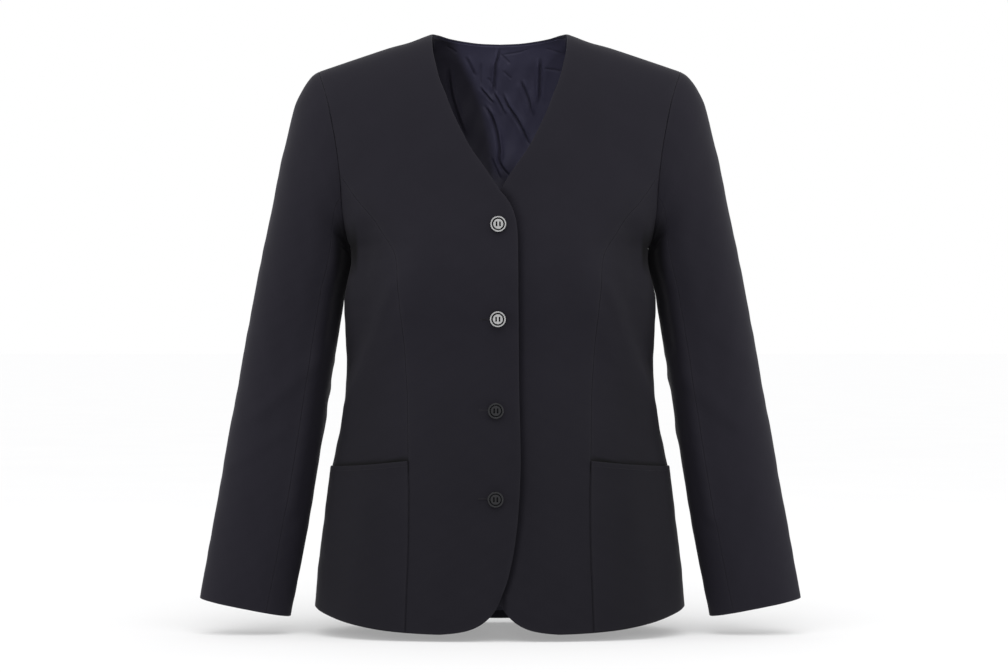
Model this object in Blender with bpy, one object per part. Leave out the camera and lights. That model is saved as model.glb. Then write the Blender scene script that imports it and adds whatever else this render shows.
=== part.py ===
"""Collarless V-neck blazer, filled out as on an invisible form.

Frame: +X to the wearer's left, +Y to the wearer's back, +Z up.  The origin is midway
between the two shoulder points.  Tables and sizes are in millimetres; the meshes are
written in metres.
"""
import math

import bmesh
import bpy
import numpy as np

MM = 0.001

# ---------------------------------------------------------------- driving dimensions
BODY_CLOTH = 1.5          # thickness of the wool panels
SLEEVE_CLOTH = 1.2
POCKET_CLOTH = 1.5
LINING_CLOTH = 1.0
SEAM_GAP = 0.34           # between the edges of two panels
SLEEVE_GAP = 0.5          # between the armhole edge and the sleeve's first ring
RIDGE_TOP = 60.0          # height of the shoulder ridge if it ran on to the centre
RIDGE_ROUND = 40.0        # rounding of the ridge across the centre
BACK_DROP = 3.0           # how much lower the hem is at centre back
SHOULDER_HOLLOW = 1.8     # soft dip of the shoulder line beside the neck
OVERLAP_DIP = 2.1         # how far the left front goes under the right front
POCKET_LIFT = 0.35        # clear space between a pocket and its panel
LINING_INSET = 4.4        # lining's outer face inside the back's outer face
LINING_NECK_DROP = 4.0    # lining's top edge below the back neck
LINING_SHOULDER_RUN = 6.0 # and its distance from the shoulder seam
BUTTON_RADIUS = 9.0
BUTTON_HEIGHT = 3.6
HOLE_RADIUS = 0.95
HOLE_PITCH = 1.9          # half the distance between two holes

# How the torso is shaped: a row per level, each one a closed ring.
#   down        distance below the ridge top at the centre
#   half_width  half the ring's width
#   front/back  its depth to each side of the shoulder line
#   slope       fall of the ring toward the shoulder
#   side_rise   how much higher the ring is at the side seam
#   square      exponent of the ring, 2 is an ellipse
TORSO_COLUMNS = ("down", "half_width", "front", "back", "slope", "side_rise", "square")
TORSO = (
    (0.0, 213.0, 0.0, 0.0, 0.348, 0.0, 3.60),
    (3.0, 214.0, 26.0, 26.0, 0.348, 0.0, 3.60),
    (10.0, 216.0, 44.0, 43.0, 0.345, 0.0, 3.50),
    (25.0, 219.0, 61.0, 58.0, 0.335, 0.0, 3.25),
    (55.0, 222.0, 79.0, 76.0, 0.290, 0.0, 2.85),
    (95.0, 222.0, 93.0, 92.0, 0.210, 0.0, 2.52),
    (140.0, 215.0, 104.0, 104.0, 0.120, 0.0, 2.38),
    (190.0, 201.0, 112.0, 111.0, 0.050, 0.0, 2.40),
    (230.0, 186.5, 118.0, 112.0, 0.010, 0.0, 2.45),
    (252.0, 175.8, 121.0, 111.0, 0.002, 0.0, 2.48),
    (263.0, 170.0, 122.0, 110.0, 0.0, 0.0, 2.50),
    (275.0, 170.2, 123.2, 109.0, 0.0, 0.0, 2.50),
    (290.0, 172.5, 124.0, 107.0, 0.0, 0.0, 2.50),
    (322.0, 178.2, 122.0, 102.0, 0.0, 0.0, 2.45),
    (360.0, 177.4, 117.0, 95.0, 0.0, 1.8, 2.35),
    (405.0, 176.0, 112.0, 90.0, 0.0, 4.5, 2.30),
    (440.0, 177.4, 111.0, 92.0, 0.0, 6.6, 2.30),
    (470.0, 181.5, 112.0, 97.0, 0.0, 8.4, 2.32),
    (500.0, 187.4, 114.0, 103.0, 0.0, 10.2, 2.35),
    (530.0, 192.8, 116.0, 109.0, 0.0, 12.0, 2.40),
    (570.0, 198.2, 118.5, 115.0, 0.0, 14.5, 2.45),
    (610.0, 202.9, 121.0, 119.0, 0.0, 16.9, 2.45),
    (650.0, 206.9, 123.0, 122.0, 0.0, 19.3, 2.45),
    (696.0, 210.5, 125.0, 124.0, 0.0, 22.0, 2.45),
    (704.0, 211.1, 125.4, 124.4, 0.0, 22.5, 2.45),
)

# Soft forms raised (or sunk, where negative) on the torso, each along a line in front view.
#   face -1 is the front and +1 the back; x is taken on the named side (0 is both)
FORM_COLUMNS = ("face", "side", "x0", "z0", "x1", "z1", "spread", "height")
FORMS = (
    (-1, 0, 88.0, -222.0, 96.0, -248.0, 46.0, 6.0),
    (-1, -1, 112.0, -292.0, 170.0, -392.0, 15.0, 2.4),
    (-1, 1, 110.0, -280.0, 172.0, -398.0, 16.0, 2.6),
    (-1, -1, 150.0, -262.0, 168.0, -330.0, 15.0, -2.0),
    (-1, 1, 150.0, -258.0, 168.0, -334.0, 15.0, -2.0),
    (1, -1, 60.0, -330.0, 160.0, -372.0, 17.0, 2.0),
    (1, 1, 52.0, -352.0, 150.0, -338.0, 16.0, 2.2),
    (1, 0, 84.0, -120.0, 92.0, -160.0, 48.0, 4.0),
)

# Seams and edges in front view: rows of (height, distance from the centre).
ARMHOLE = (
    (6.0, 207.6), (0.0, 207.0), (-19.0, 200.5), (-36.0, 195.5), (-59.0, 190.8), (-82.0, 186.3),
    (-104.0, 183.0), (-127.0, 180.6), (-150.0, 179.0), (-167.0, 177.3), (-180.0, 175.6),
    (-192.0, 173.3), (-203.0, 170.4), (-220.0, 168.0),
)
PRINCESS = (
    (-122.0, 180.8), (-150.0, 161.0), (-168.0, 145.0), (-190.5, 129.0), (-212.0, 114.5),
    (-225.0, 111.5), (-244.0, 110.5), (-283.0, 107.0), (-336.0, 105.0), (-380.0, 103.0),
    (-442.0, 102.0), (-486.0, 101.0), (-529.0, 101.5), (-636.0, 105.0),
)
# The neck edge runs on into the overlap: past the centre the distance is negative.
FRONT_EDGE = (
    (44.0, 77.5), (22.0, 76.0), (3.5, 72.0), (-14.6, 67.3), (-28.7, 61.5), (-47.3, 54.6),
    (-64.6, 46.7), (-80.7, 38.8), (-93.2, 32.0), (-109.2, 20.8), (-123.9, 10.7),
    (-140.9, -0.4), (-152.1, -9.4), (-165.5, -16.0), (-180.0, -19.4), (-196.8, -20.5),
    (-263.6, -21.0), (-375.0, -22.2), (-442.0, -23.6), (-475.0, -22.7), (-508.4, -20.4),
    (-536.0, -17.2), (-558.4, -13.2), (-577.3, -8.5), (-594.0, -2.2),
)
# Rounded corner of the fronts: rows of (distance from the centre, height).
FRONT_CORNER = (
    (-2.2, -594.0), (2.6, -605.2), (11.8, -617.6), (25.0, -627.2), (39.6, -632.3),
    (55.0, -634.8), (70.0, -636.0),
)
BACK_NECK = ((0.0, 36.0), (20.0, 36.4), (40.0, 38.2), (58.0, 40.6), (70.0, 42.4), (77.2, 43.6))

POCKET_TOP = ((102.0, -443.3), (150.0, -448.6), (192.0, -452.4))

# A row per ring of a sleeve, from the armhole to the cuff, in front view.
#   out_x/out_z  the ring's outer point,  in_x/in_z  its inner point
#   depth        half its depth,  fore  its centre toward the back
SLEEVE_COLUMNS = ("out_x", "out_z", "in_x", "in_z", "depth", "fore", "square")
SLEEVE = (
    (207.2, 0.0, 170.6, -201.8, 61.0, 0.0, 2.05),
    (213.2, -4.0, 170.9, -202.4, 61.5, 0.0, 2.05),
    (219.6, -11.5, 171.2, -203.2, 62.0, 0.5, 2.05),
    (227.2, -23.5, 171.5, -204.2, 62.5, 1.0, 2.08),
    (234.2, -38.5, 171.9, -205.5, 63.0, 2.0, 2.10),
    (239.4, -56.0, 172.4, -207.2, 63.0, 3.0, 2.12),
    (244.3, -76.0, 173.0, -209.4, 62.5, 4.0, 2.14),
    (250.5, -101.0, 173.8, -212.6, 61.5, 5.0, 2.16),
    (256.8, -131.0, 174.9, -217.2, 60.5, 5.0, 2.18),
    (263.2, -164.0, 176.4, -224.0, 59.5, 5.0, 2.20),
    (270.2, -198.0, 177.8, -234.6, 58.5, 5.0, 2.20),
    (277.0, -232.0, 179.4, -252.6, 57.5, 5.0, 2.20),
    (283.8, -267.0, 183.4, -285.6, 56.0, 5.0, 2.20),
    (293.6, -320.0, 192.2, -339.0, 53.0, 4.0, 2.20),
    (304.0, -380.0, 200.8, -399.5, 50.0, 1.0, 2.20),
    (314.8, -440.0, 210.0, -460.0, 46.0, -4.0, 2.20),
    (324.9, -500.0, 219.6, -520.0, 41.0, -9.0, 2.20),
    (335.2, -560.0, 230.4, -580.0, 35.5, -14.0, 2.20),
    (342.8, -603.2, 239.6, -623.8, 31.5, -18.0, 2.20),
)
FRONT_SLEEVE_SEAM = 119.0    # degrees round the ring from its outer point
BACK_SLEEVE_SEAM = 262.0
ARMHOLE_FADE = 95.0          # how far down the sleeve the armhole's shape is felt

# Where the four buttons sit: distance from the centre and height.
BUTTONS = ((-1.8, -180.0), (-1.8, -284.4), (-5.0, -387.6), (-4.4, -485.6))
BUTTON_PROFILE = (
    (0.0, 0.0), (6.4, 0.0), (8.5, 0.7), (9.0, 1.8), (8.7, 3.1), (8.3, 3.4), (7.2, 3.4),
    (6.7, 2.7), (6.1, 2.6), (5.7, 2.85), (0.0, 2.8),
)

# Grid sizes, in cells
SHOULDER_ROWS = 7
CHEST_ROWS = 15
SKIRT_ROWS = 8
BACK_CHEST_ROWS = 9
FRONT_CELLS = 6
SIDE_CELLS = 5
BACK_CELLS = 10
TOP_SLEEVE_CELLS = 10
UNDER_SLEEVE_CELLS = 6
SLEEVE_CELLS = 29
LINING_CELLS = 20
LINING_ROWS = 24


# ---------------------------------------------------------------- curves
def smooth_curve(xs, ys):
    """Monotone cubic through the rows of a table."""
    xs = np.asarray(xs, float)
    ys = np.asarray(ys, float)
    step = np.diff(xs)
    rise = np.diff(ys) / step
    slope = np.zeros(len(xs))
    slope[0] = rise[0]
    slope[-1] = rise[-1]
    for k in range(1, len(xs) - 1):
        if rise[k - 1] * rise[k] > 0:
            a = 2 * step[k] + step[k - 1]
            b = step[k] + 2 * step[k - 1]
            slope[k] = (a + b) / (a / rise[k - 1] + b / rise[k])

    def value(x):
        x = np.clip(np.asarray(x, float), xs[0], xs[-1])
        k = np.clip(np.searchsorted(xs, x, side="right") - 1, 0, len(xs) - 2)
        h = step[k]
        s = (x - xs[k]) / h
        return (
            (1 + 2 * s) * (1 - s) ** 2 * ys[k]
            + s * (1 - s) ** 2 * h * slope[k]
            + s * s * (3 - 2 * s) * ys[k + 1]
            + s * s * (s - 1) * h * slope[k + 1]
        )

    return value


def table_curves(columns, rows, run):
    return {name: smooth_curve(run, [row[k] for row in rows]) for k, name in enumerate(columns)}


def by_height(rows):
    """Distance from the centre as a function of height."""
    rows = sorted(rows)
    return smooth_curve([r[0] for r in rows], [r[1] for r in rows])


def smoothstep(x, low, high):
    s = np.clip((np.asarray(x, float) - low) / (high - low), 0.0, 1.0)
    return s * s * (3 - 2 * s)


# ---------------------------------------------------------------- the torso's surface
def run_down(rows):
    """Distance travelled over the cloth from the ridge to each row."""
    run = [0.0]
    for upper, lower in zip(rows, rows[1:]):
        depth = (lower[2] + lower[3] - upper[2] - upper[3]) / 2
        run.append(run[-1] + math.hypot(lower[0] - upper[0], depth))
    return run


TORSO_RUN = run_down(TORSO)
TORSO_AT = table_curves(TORSO_COLUMNS, TORSO, TORSO_RUN)
ARMHOLE_AT = by_height(ARMHOLE)
PRINCESS_AT = by_height(PRINCESS)
EDGE_AT = by_height(FRONT_EDGE)


def ring_height(x, run):
    x = np.abs(x)
    width = TORSO_AT["half_width"](run)
    fall = TORSO_AT["slope"](run) * (np.sqrt(x * x + RIDGE_ROUND**2) - RIDGE_ROUND)
    fall = fall + SHOULDER_HOLLOW * np.exp(-(((x - 103.0) / 15.0) ** 2)) * (1 - smoothstep(run, 0.0, 60.0))
    rise = TORSO_AT["side_rise"](run) * np.clip(x / width, 0, 1) ** 3.8
    return RIDGE_TOP - TORSO_AT["down"](run) - fall + rise


def run_at(x, z):
    """Row of the torso whose ring passes (x, z) in front view."""
    x, z = np.broadcast_arrays(np.asarray(x, float), np.asarray(z, float))
    low = np.zeros(x.shape)
    high = np.full(x.shape, TORSO_RUN[-1])
    for _ in range(48):
        mid = (low + high) / 2
        above = ring_height(x, mid) > z
        low = np.where(above, mid, low)
        high = np.where(above, high, mid)
    return (low + high) / 2


def turn_at(x, run):
    """Angle round the ring from the centre to where it is |x| from it (0 to 90 degrees)."""
    share = np.clip(np.abs(x) / TORSO_AT["half_width"](run), 0.0, 1.0)
    n = TORSO_AT["square"](run)
    depth = (1 - share**n) ** (1 / n)
    return np.sign(x) * np.arctan2(share, depth)


def form_height(x, y, z):
    total = np.zeros(np.shape(x))
    for face, side, x0, z0, x1, z1, spread, height in FORMS:
        for s in (-1, 1):
            if side not in (0, s):
                continue
            along = np.array([x1 - x0, z1 - z0])
            t = ((x * s - x0) * along[0] + (z - z0) * along[1]) / float(along @ along)
            t = np.clip(t, 0, 1)
            away = np.hypot(x * s - x0 - t * along[0], z - z0 - t * along[1])
            mask = smoothstep(y * face, 4.0, 34.0)
            total = total + height * np.exp(-((away / spread) ** 2)) * mask
    return total


def torso(turn, run):
    """Point on the cloth's outer face; turn is 0 at centre front, +-pi at centre back."""
    turn, run = np.broadcast_arrays(np.asarray(turn, float), np.asarray(run, float))
    n = TORSO_AT["square"](run)
    c, s = np.cos(turn), np.sin(turn)
    radius = (np.abs(c) ** n + np.abs(s) ** n) ** (-1 / n)
    x = TORSO_AT["half_width"](run) * radius * s
    depth = np.where(c > 0, TORSO_AT["front"](run), TORSO_AT["back"](run))
    y = -depth * radius * c
    z = ring_height(x, run)
    out = form_height(x, y, z)
    return np.stack([x + out * s, y - out * c, z], axis=-1)


def normals_of(surface, a, b, step_a, step_b):
    """Unit normals of surface(a, b), by differences."""
    da = surface(a + step_a, b) - surface(a - step_a, b)
    db = surface(a, b + step_b) - surface(a, b - step_b)
    n = np.cross(da, db)
    return n / np.maximum(np.linalg.norm(n, axis=-1, keepdims=True), 1e-12)


def torso_normals(turn, run):
    run = np.maximum(run, 0.6)
    n = -normals_of(torso, turn, run, 2e-3, 0.5)
    # on the ridge the front and back of the cloth share an upright normal
    upright = n.copy()
    upright[..., 1] = 0.0
    upright /= np.linalg.norm(upright, axis=-1, keepdims=True)
    ease = (1 - smoothstep(run, 0.6, 9.0))[..., None]
    n = n * (1 - ease) + upright * ease
    return n / np.linalg.norm(n, axis=-1, keepdims=True)


# ---------------------------------------------------------------- grids
def spaced(points, cells):
    """Points at even distances along a polyline of (turn, run)."""
    points = np.asarray(points, float)
    solid = torso(points[:, 0], points[:, 1])
    run = np.concatenate([[0], np.cumsum(np.linalg.norm(np.diff(solid, axis=0), axis=1))])
    at = np.linspace(0, run[-1], cells + 1)
    return np.stack([np.interp(at, run, points[:, k]) for k in range(2)], axis=1)


def chain(*parts):
    """One side of a patch from parts that meet end to end."""
    return np.concatenate([parts[0]] + [p[1:] for p in parts[1:]])


def patch(left, right, top, bottom):
    """Grid of (turn, run) between four sides."""
    v = np.linspace(0, 1, len(left))[:, None, None]
    u = np.linspace(0, 1, len(top))[None, :, None]
    corners = (
        (1 - u) * (1 - v) * top[0] + u * (1 - v) * top[-1] + (1 - u) * v * bottom[0] + u * v * bottom[-1]
    )
    sides = (1 - u) * left[:, None] + u * right[:, None]
    ends = (1 - v) * top[None] + v * bottom[None]
    return sides + ends - corners


def front_points(xs, zs):
    run = run_at(xs, zs)
    return np.stack([turn_at(xs, run), run], axis=1)


def back_points(xs, zs):
    run = run_at(xs, zs)
    turn = turn_at(xs, run)
    return np.stack([np.where(turn >= 0, math.pi - turn, -math.pi - turn), run], axis=1)


def underarm_run():
    runs = np.linspace(250, 420, 3401)
    width = TORSO_AT["half_width"](runs)
    open_ = width - ARMHOLE_AT(ring_height(width, runs))
    below = runs[(open_ < 0) & (ring_height(width, runs) < -150)]
    return float(below[0])


UNDERARM_RUN = underarm_run()


def armhole_line(count=400):
    """Armhole of the +X side, front half, from the shoulder point to the underarm."""
    s = np.linspace(0, 1, count)
    runs = UNDERARM_RUN * (1 - (1 - s) ** 2.2)
    x = np.full(count, 200.0)
    for _ in range(40):
        x = np.minimum(ARMHOLE_AT(ring_height(x, runs)), TORSO_AT["half_width"](runs))
    return np.stack([turn_at(x, runs), runs], axis=1)


ARMHOLE_LINE = armhole_line()


def cut_line(line, low, high):
    """The stretch of a (turn, run) line between two rows, ends included."""
    line = np.asarray(line)
    ends = [np.interp(e, line[:, 1], line[:, 0]) for e in (low, high)]
    inner = line[(line[:, 1] > low + 1e-6) & (line[:, 1] < high - 1e-6)]
    return np.concatenate([[[ends[0], low]], inner, [[ends[1], high]]])


def princess_line():
    z = np.linspace(PRINCESS[0][0], -634.8, 300)
    return front_points(PRINCESS_AT(z), z)


def meeting_run():
    """Row where the princess seam leaves the armhole."""
    line = princess_line()
    arm = np.interp(line[:, 1], ARMHOLE_LINE[:, 1], ARMHOLE_LINE[:, 0])
    inside = np.nonzero(line[:, 0] < arm - 1e-4)[0]
    return float(line[inside[0], 1])


PRINCESS_RUN = meeting_run()
HEM_RUN = TORSO_RUN[-2]
POCKET_AT = smooth_curve([p[0] for p in POCKET_TOP], [p[1] for p in POCKET_TOP])


def princess_parts():
    line = princess_line()
    line[:, 1] = np.minimum(line[:, 1], HEM_RUN)
    line = line[line[:, 1] >= PRINCESS_RUN]
    start = [np.interp(PRINCESS_RUN, ARMHOLE_LINE[:, 1], ARMHOLE_LINE[:, 0]), PRINCESS_RUN]
    line = np.concatenate([[start], line[1:]])
    line[-1, 1] = HEM_RUN
    pocket = float(run_at(POCKET_TOP[0][0], POCKET_TOP[0][1]))
    upper = spaced(cut_line(line, PRINCESS_RUN, pocket), CHEST_ROWS)
    lower = spaced(cut_line(line, pocket, HEM_RUN), SKIRT_ROWS)
    return upper, lower


def side_parts():
    side = math.pi / 2
    width = float(TORSO_AT["half_width"](run_at(190.0, POCKET_TOP[2][1])))
    pocket = float(run_at(width, POCKET_TOP[2][1]))
    rows = np.linspace(0, 1, 60)
    upper = [[side, UNDERARM_RUN + (pocket - UNDERARM_RUN) * r] for r in rows]
    lower = [[side, pocket + (HEM_RUN - pocket) * r] for r in rows]
    return spaced(upper, CHEST_ROWS), spaced(lower, SKIRT_ROWS)


def front_patch():
    """Front of the +X side: outer side first, front edge last."""
    shoulder = spaced(cut_line(ARMHOLE_LINE, 0.0, PRINCESS_RUN), SHOULDER_ROWS)
    upper, lower = princess_parts()
    outer = chain(shoulder, upper, lower)
    z = np.linspace(FRONT_EDGE[0][0] - 0.6, FRONT_EDGE[-1][0], 500)
    line = front_points(EDGE_AT(z), z)
    line[0] = [turn_at(FRONT_EDGE[0][1], 0.0), 0.0]
    split_high = float(run_at(10.0, -128.0))
    split_low = float(run_at(20.0, -441.0))
    inner = chain(
        spaced(cut_line(line, 0.0, split_high), SHOULDER_ROWS),
        spaced(cut_line(line, split_high, split_low), CHEST_ROWS),
        spaced(cut_line(line, split_low, line[-1, 1]), SKIRT_ROWS),
    )
    top = spaced([[outer[0, 0] + (inner[0, 0] - outer[0, 0]) * s, 0.0] for s in np.linspace(0, 1, 40)],
                 FRONT_CELLS)
    corner = np.array(FRONT_CORNER)
    x = smooth_curve(range(len(corner)), corner[:, 0])(np.linspace(0, len(corner) - 1, 120))
    heights = smooth_curve(range(len(corner)), corner[:, 1])(np.linspace(0, len(corner) - 1, 120))
    low = front_points(x, heights)
    low[:, 1] = np.minimum(low[:, 1], HEM_RUN)
    low[-1, 1] = HEM_RUN
    hem = [[low[-1, 0] + (outer[-1, 0] - low[-1, 0]) * s, HEM_RUN] for s in np.linspace(0, 1, 30)]
    bottom = spaced(chain(low, np.array(hem)), FRONT_CELLS)[::-1]
    bottom[0] = outer[-1]
    bottom[-1] = inner[-1]
    return patch(outer, inner, top, bottom)


def side_patch():
    """Side front of the +X side: princess seam first, side seam last."""
    upper, lower = princess_parts()
    left = chain(upper, lower)
    upper, lower = side_parts()
    right = chain(upper, lower)
    top = spaced(cut_line(ARMHOLE_LINE, PRINCESS_RUN, UNDERARM_RUN), SIDE_CELLS)
    top[0] = left[0]
    top[-1] = right[0]
    bottom = spaced(
        [[left[-1, 0] + (right[-1, 0] - left[-1, 0]) * s, HEM_RUN] for s in np.linspace(0, 1, 30)],
        SIDE_CELLS,
    )
    grid = patch(left, right, top, bottom)
    # the row at the pocket's top follows the pocket's line
    row = CHEST_ROWS
    points = torso(grid[row, :, 0], grid[row, :, 1])
    for k in range(1, SIDE_CELLS):
        grid[row, k, 1] = run_at(points[k, 0], POCKET_AT(points[k, 0]))
    return grid


def back_patch():
    """Half back of the +X side: side seam first, centre back last."""
    arm = ARMHOLE_LINE.copy()
    arm[:, 0] = math.pi - arm[:, 0]
    shoulder = spaced(cut_line(arm, 0.0, UNDERARM_RUN), SHOULDER_ROWS + BACK_CHEST_ROWS - 2)
    upper, lower = side_parts()
    outer = chain(shoulder, upper, lower)
    neck = np.array(BACK_NECK)
    x = np.linspace(0, neck[-1, 0], 80)
    z = smooth_curve(neck[:, 0], neck[:, 1])(x)
    line = back_points(x, z)
    line[0, 0] = math.pi
    line[-1] = [math.pi - turn_at(FRONT_EDGE[0][1], 0.0), 0.0]
    tip = outer[0]
    ridge = np.array([[line[-1, 0] + (tip[0] - line[-1, 0]) * s, 0.0] for s in np.linspace(0, 1, 40)])
    neck_cells = 4
    top = chain(spaced(line, neck_cells), spaced(ridge, BACK_CELLS - neck_cells))[::-1]
    start = line[0, 1]
    levels = np.interp(
        np.arange(len(outer)),
        [0, len(shoulder) - 1, len(shoulder) - 1 + CHEST_ROWS, len(outer) - 1],
        [start, UNDERARM_RUN - 6, outer[len(shoulder) - 1 + CHEST_ROWS, 1] + 8, HEM_RUN + BACK_DROP],
    )
    inner = np.stack([np.full(len(outer), math.pi), levels], axis=1)
    bottom = spaced(
        [[outer[-1, 0] + (math.pi - outer[-1, 0]) * s, HEM_RUN + BACK_DROP * s] for s in np.linspace(0, 1, 30)],
        BACK_CELLS,
    )
    return patch(outer, inner, top, bottom)


# ---------------------------------------------------------------- the sleeves' surface
def sleeve_run(rows):
    run = [0.0]
    for upper, lower in zip(rows, rows[1:]):
        run.append(run[-1] + math.hypot(lower[0] - upper[0], lower[1] - upper[1]))
    return run


SLEEVE_RUN = sleeve_run(SLEEVE)
SLEEVE_AT = table_curves(SLEEVE_COLUMNS, SLEEVE, SLEEVE_RUN)


def plain_sleeve(turn, run):
    """Ring without the armhole's shape; turn is 0 at the outer point, pi/2 in front."""
    at = {name: curve(run) for name, curve in SLEEVE_AT.items()}
    c, s = np.cos(turn), np.sin(turn)
    n = at["square"]
    radius = (np.abs(c) ** n + np.abs(s) ** n) ** (-1 / n)
    x = (at["out_x"] + at["in_x"]) / 2 + (at["out_x"] - at["in_x"]) / 2 * radius * c
    z = (at["out_z"] + at["in_z"]) / 2 + (at["out_z"] - at["in_z"]) / 2 * radius * c
    y = at["fore"] - at["depth"] * radius * s
    return np.stack([x, y, z], axis=-1)


def armhole_ring(turn):
    """The armhole itself, matched to the sleeve's first ring by height along its chord."""
    front = torso(ARMHOLE_LINE[:, 0], ARMHOLE_LINE[:, 1])
    back = torso(math.pi - ARMHOLE_LINE[:, 0], ARMHOLE_LINE[:, 1])
    top, low = front[0], front[-1]
    chord = (low - top) / np.linalg.norm(low - top)
    length = float(np.linalg.norm(low - top))
    want = (1 - np.cos(turn)) / 2 * length
    result = np.zeros(np.shape(turn) + (3,))
    for half, line in ((1, front), (-1, back)):
        along = np.maximum.accumulate((line - top) @ chord)
        along = along + np.linspace(0, 1e-6, len(along))
        pick = np.sin(turn) >= 0 if half > 0 else np.sin(turn) < 0
        # the ends are nearly square to the chord, so look the points up by angle
        angle = np.arccos(np.clip(1 - 2 * along / along[-1], -1, 1))
        angle = np.maximum.accumulate(angle) + np.linspace(0, 1e-7, len(angle))
        key = np.arccos(np.clip(1 - 2 * want / length, -1, 1))
        for k in range(3):
            result[..., k] = np.where(pick, np.interp(key, angle, line[:, k]), result[..., k])
    return result


def sleeve(turn, run):
    turn, run = np.broadcast_arrays(np.asarray(turn, float), np.asarray(run, float))
    plain = plain_sleeve(turn, run)
    shift = armhole_ring(turn) + np.array([SLEEVE_GAP, 0, 0]) - plain_sleeve(turn, np.zeros_like(run))
    fade = (1 - smoothstep(run, 0.0, ARMHOLE_FADE))[..., None]
    return plain + shift * fade


def sleeve_levels():
    """Rings close together over the cap, then evenly down to the cuff."""
    cap = np.array([0.0, 5.0, 12.0, 22.0, 36.0, 53.0, 74.0, 98.0, 124.0, 151.0, 179.0])
    rest = np.linspace(cap[-1], SLEEVE_RUN[-1], SLEEVE_CELLS - len(cap) + 2)[1:]
    return np.concatenate([cap, rest])


def sleeve_grid(start, end, cells):
    turn = np.radians(np.linspace(start, end, cells + 1))
    run = sleeve_levels()
    turn, run = np.meshgrid(turn, run)
    points = sleeve(turn, run)
    n = normals_of(sleeve, turn, np.clip(run, 0.8, SLEEVE_RUN[-1] - 0.8), 4e-3, 0.6)
    # at the armhole the sleeve's edge stands along the body's normal, except at the underarm
    ring = armhole_ring(turn[0])
    line = np.concatenate([ARMHOLE_LINE, np.stack([math.pi - ARMHOLE_LINE[::-1, 0],
                                                   ARMHOLE_LINE[::-1, 1]], axis=1)])
    body = torso(line[:, 0], line[:, 1])
    near = np.argmin(np.linalg.norm(ring[:, None] - body[None], axis=2), axis=1)
    seam = torso_normals(line[near, 0], line[near, 1])
    share = smoothstep(np.sum(n[0] * seam, axis=1), 0.05, 0.75)[:, None]
    n[0] = n[0] * (1 - share) + seam * share
    n[0] /= np.linalg.norm(n[0], axis=1, keepdims=True)
    return points, n


# ---------------------------------------------------------------- solids
def inset_edges(points, normals, sides, amount):
    """Move the named edges of a grid inward over the cloth."""
    moved = points.copy()
    rows = {"first": (slice(0, 1), slice(None)), "last": (slice(-1, None), slice(None))}
    cols = {"left": (slice(None), slice(0, 1)), "right": (slice(None), slice(-1, None))}
    toward = {"first": (slice(1, 2), slice(None)), "last": (slice(-2, -1), slice(None)),
              "left": (slice(None), slice(1, 2)), "right": (slice(None), slice(-2, -1))}
    for name, span in sides.items():
        pick = rows.get(name) or cols.get(name)
        edge = points[pick].reshape(-1, 3)
        inner = points[toward[name]].reshape(-1, 3)
        n = normals[pick].reshape(-1, 3)
        tangent = np.gradient(edge, axis=0)
        across = np.cross(n, tangent)
        across /= np.linalg.norm(across, axis=1, keepdims=True)
        across *= np.sign(np.sum(across * (inner - edge), axis=1, keepdims=True))
        low, high = span if span else (0, len(edge) - 1)
        mask = np.zeros(len(edge))
        mask[low:high + 1] = 1
        moved[pick] += (across * amount * mask[:, None]).reshape(moved[pick].shape)
    return moved


def sheet_mesh(name, points, normals, thickness, outward=0.0, flip=False):
    """Closed sheet: the outer face on the grid, the inner face a thickness inside it."""
    rows, cols = points.shape[:2]
    if np.ndim(outward):
        outward = outward[..., None]
    outer = points + normals * outward
    inner = outer - normals * thickness
    verts = np.concatenate([outer.reshape(-1, 3), inner.reshape(-1, 3)]) * MM
    count = rows * cols

    def at(r, c, face):
        return face * count + r * cols + c

    faces = []
    for r in range(rows - 1):
        for c in range(cols - 1):
            faces.append((at(r, c, 0), at(r + 1, c, 0), at(r + 1, c + 1, 0), at(r, c + 1, 0)))
            faces.append((at(r, c, 1), at(r, c + 1, 1), at(r + 1, c + 1, 1), at(r + 1, c, 1)))
    for r in range(rows - 1):
        faces.append((at(r, 0, 0), at(r, 0, 1), at(r + 1, 0, 1), at(r + 1, 0, 0)))
        faces.append((at(r, cols - 1, 0), at(r + 1, cols - 1, 0), at(r + 1, cols - 1, 1), at(r, cols - 1, 1)))
    for c in range(cols - 1):
        faces.append((at(0, c, 0), at(0, c + 1, 0), at(0, c + 1, 1), at(0, c, 1)))
        faces.append((at(rows - 1, c, 0), at(rows - 1, c, 1), at(rows - 1, c + 1, 1), at(rows - 1, c + 1, 0)))
    if flip:
        faces = [f[::-1] for f in faces]
    mesh = bpy.data.meshes.new(name)
    mesh.from_pydata(verts.tolist(), [], faces)
    bm = bmesh.new()
    bm.from_mesh(mesh)
    bmesh.ops.recalc_face_normals(bm, faces=bm.faces)
    bm.to_mesh(mesh)
    bm.free()
    return mesh


def add_object(name, mesh, material):
    obj = bpy.data.objects.new(name, mesh)
    mesh.materials.append(material)
    bpy.context.collection.objects.link(obj)
    for polygon in mesh.polygons:
        polygon.use_smooth = True
    return obj


def mirrored(points, normals):
    flip = np.array([-1.0, 1.0, 1.0])
    return points * flip, normals * flip


def add_sheet(name, points, normals, thickness, material, side, outward=0.0):
    if side < 0:
        points, normals = mirrored(points, normals)
    return add_object(name, sheet_mesh(name, points, normals, thickness, outward), material)


def panel(grid, sides):
    points = torso(grid[..., 0], grid[..., 1])
    normals = torso_normals(grid[..., 0], grid[..., 1])
    return inset_edges(points, normals, sides, SEAM_GAP / 2), normals


def solid_material(name, color, roughness, sheen=0.0):
    material = bpy.data.materials.new(name)
    material.use_nodes = True
    shader = material.node_tree.nodes["Principled BSDF"]
    shader.inputs["Base Color"].default_value = (*color, 1.0)
    shader.inputs["Roughness"].default_value = roughness
    shader.inputs["Sheen Weight"].default_value = sheen
    return material


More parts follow.
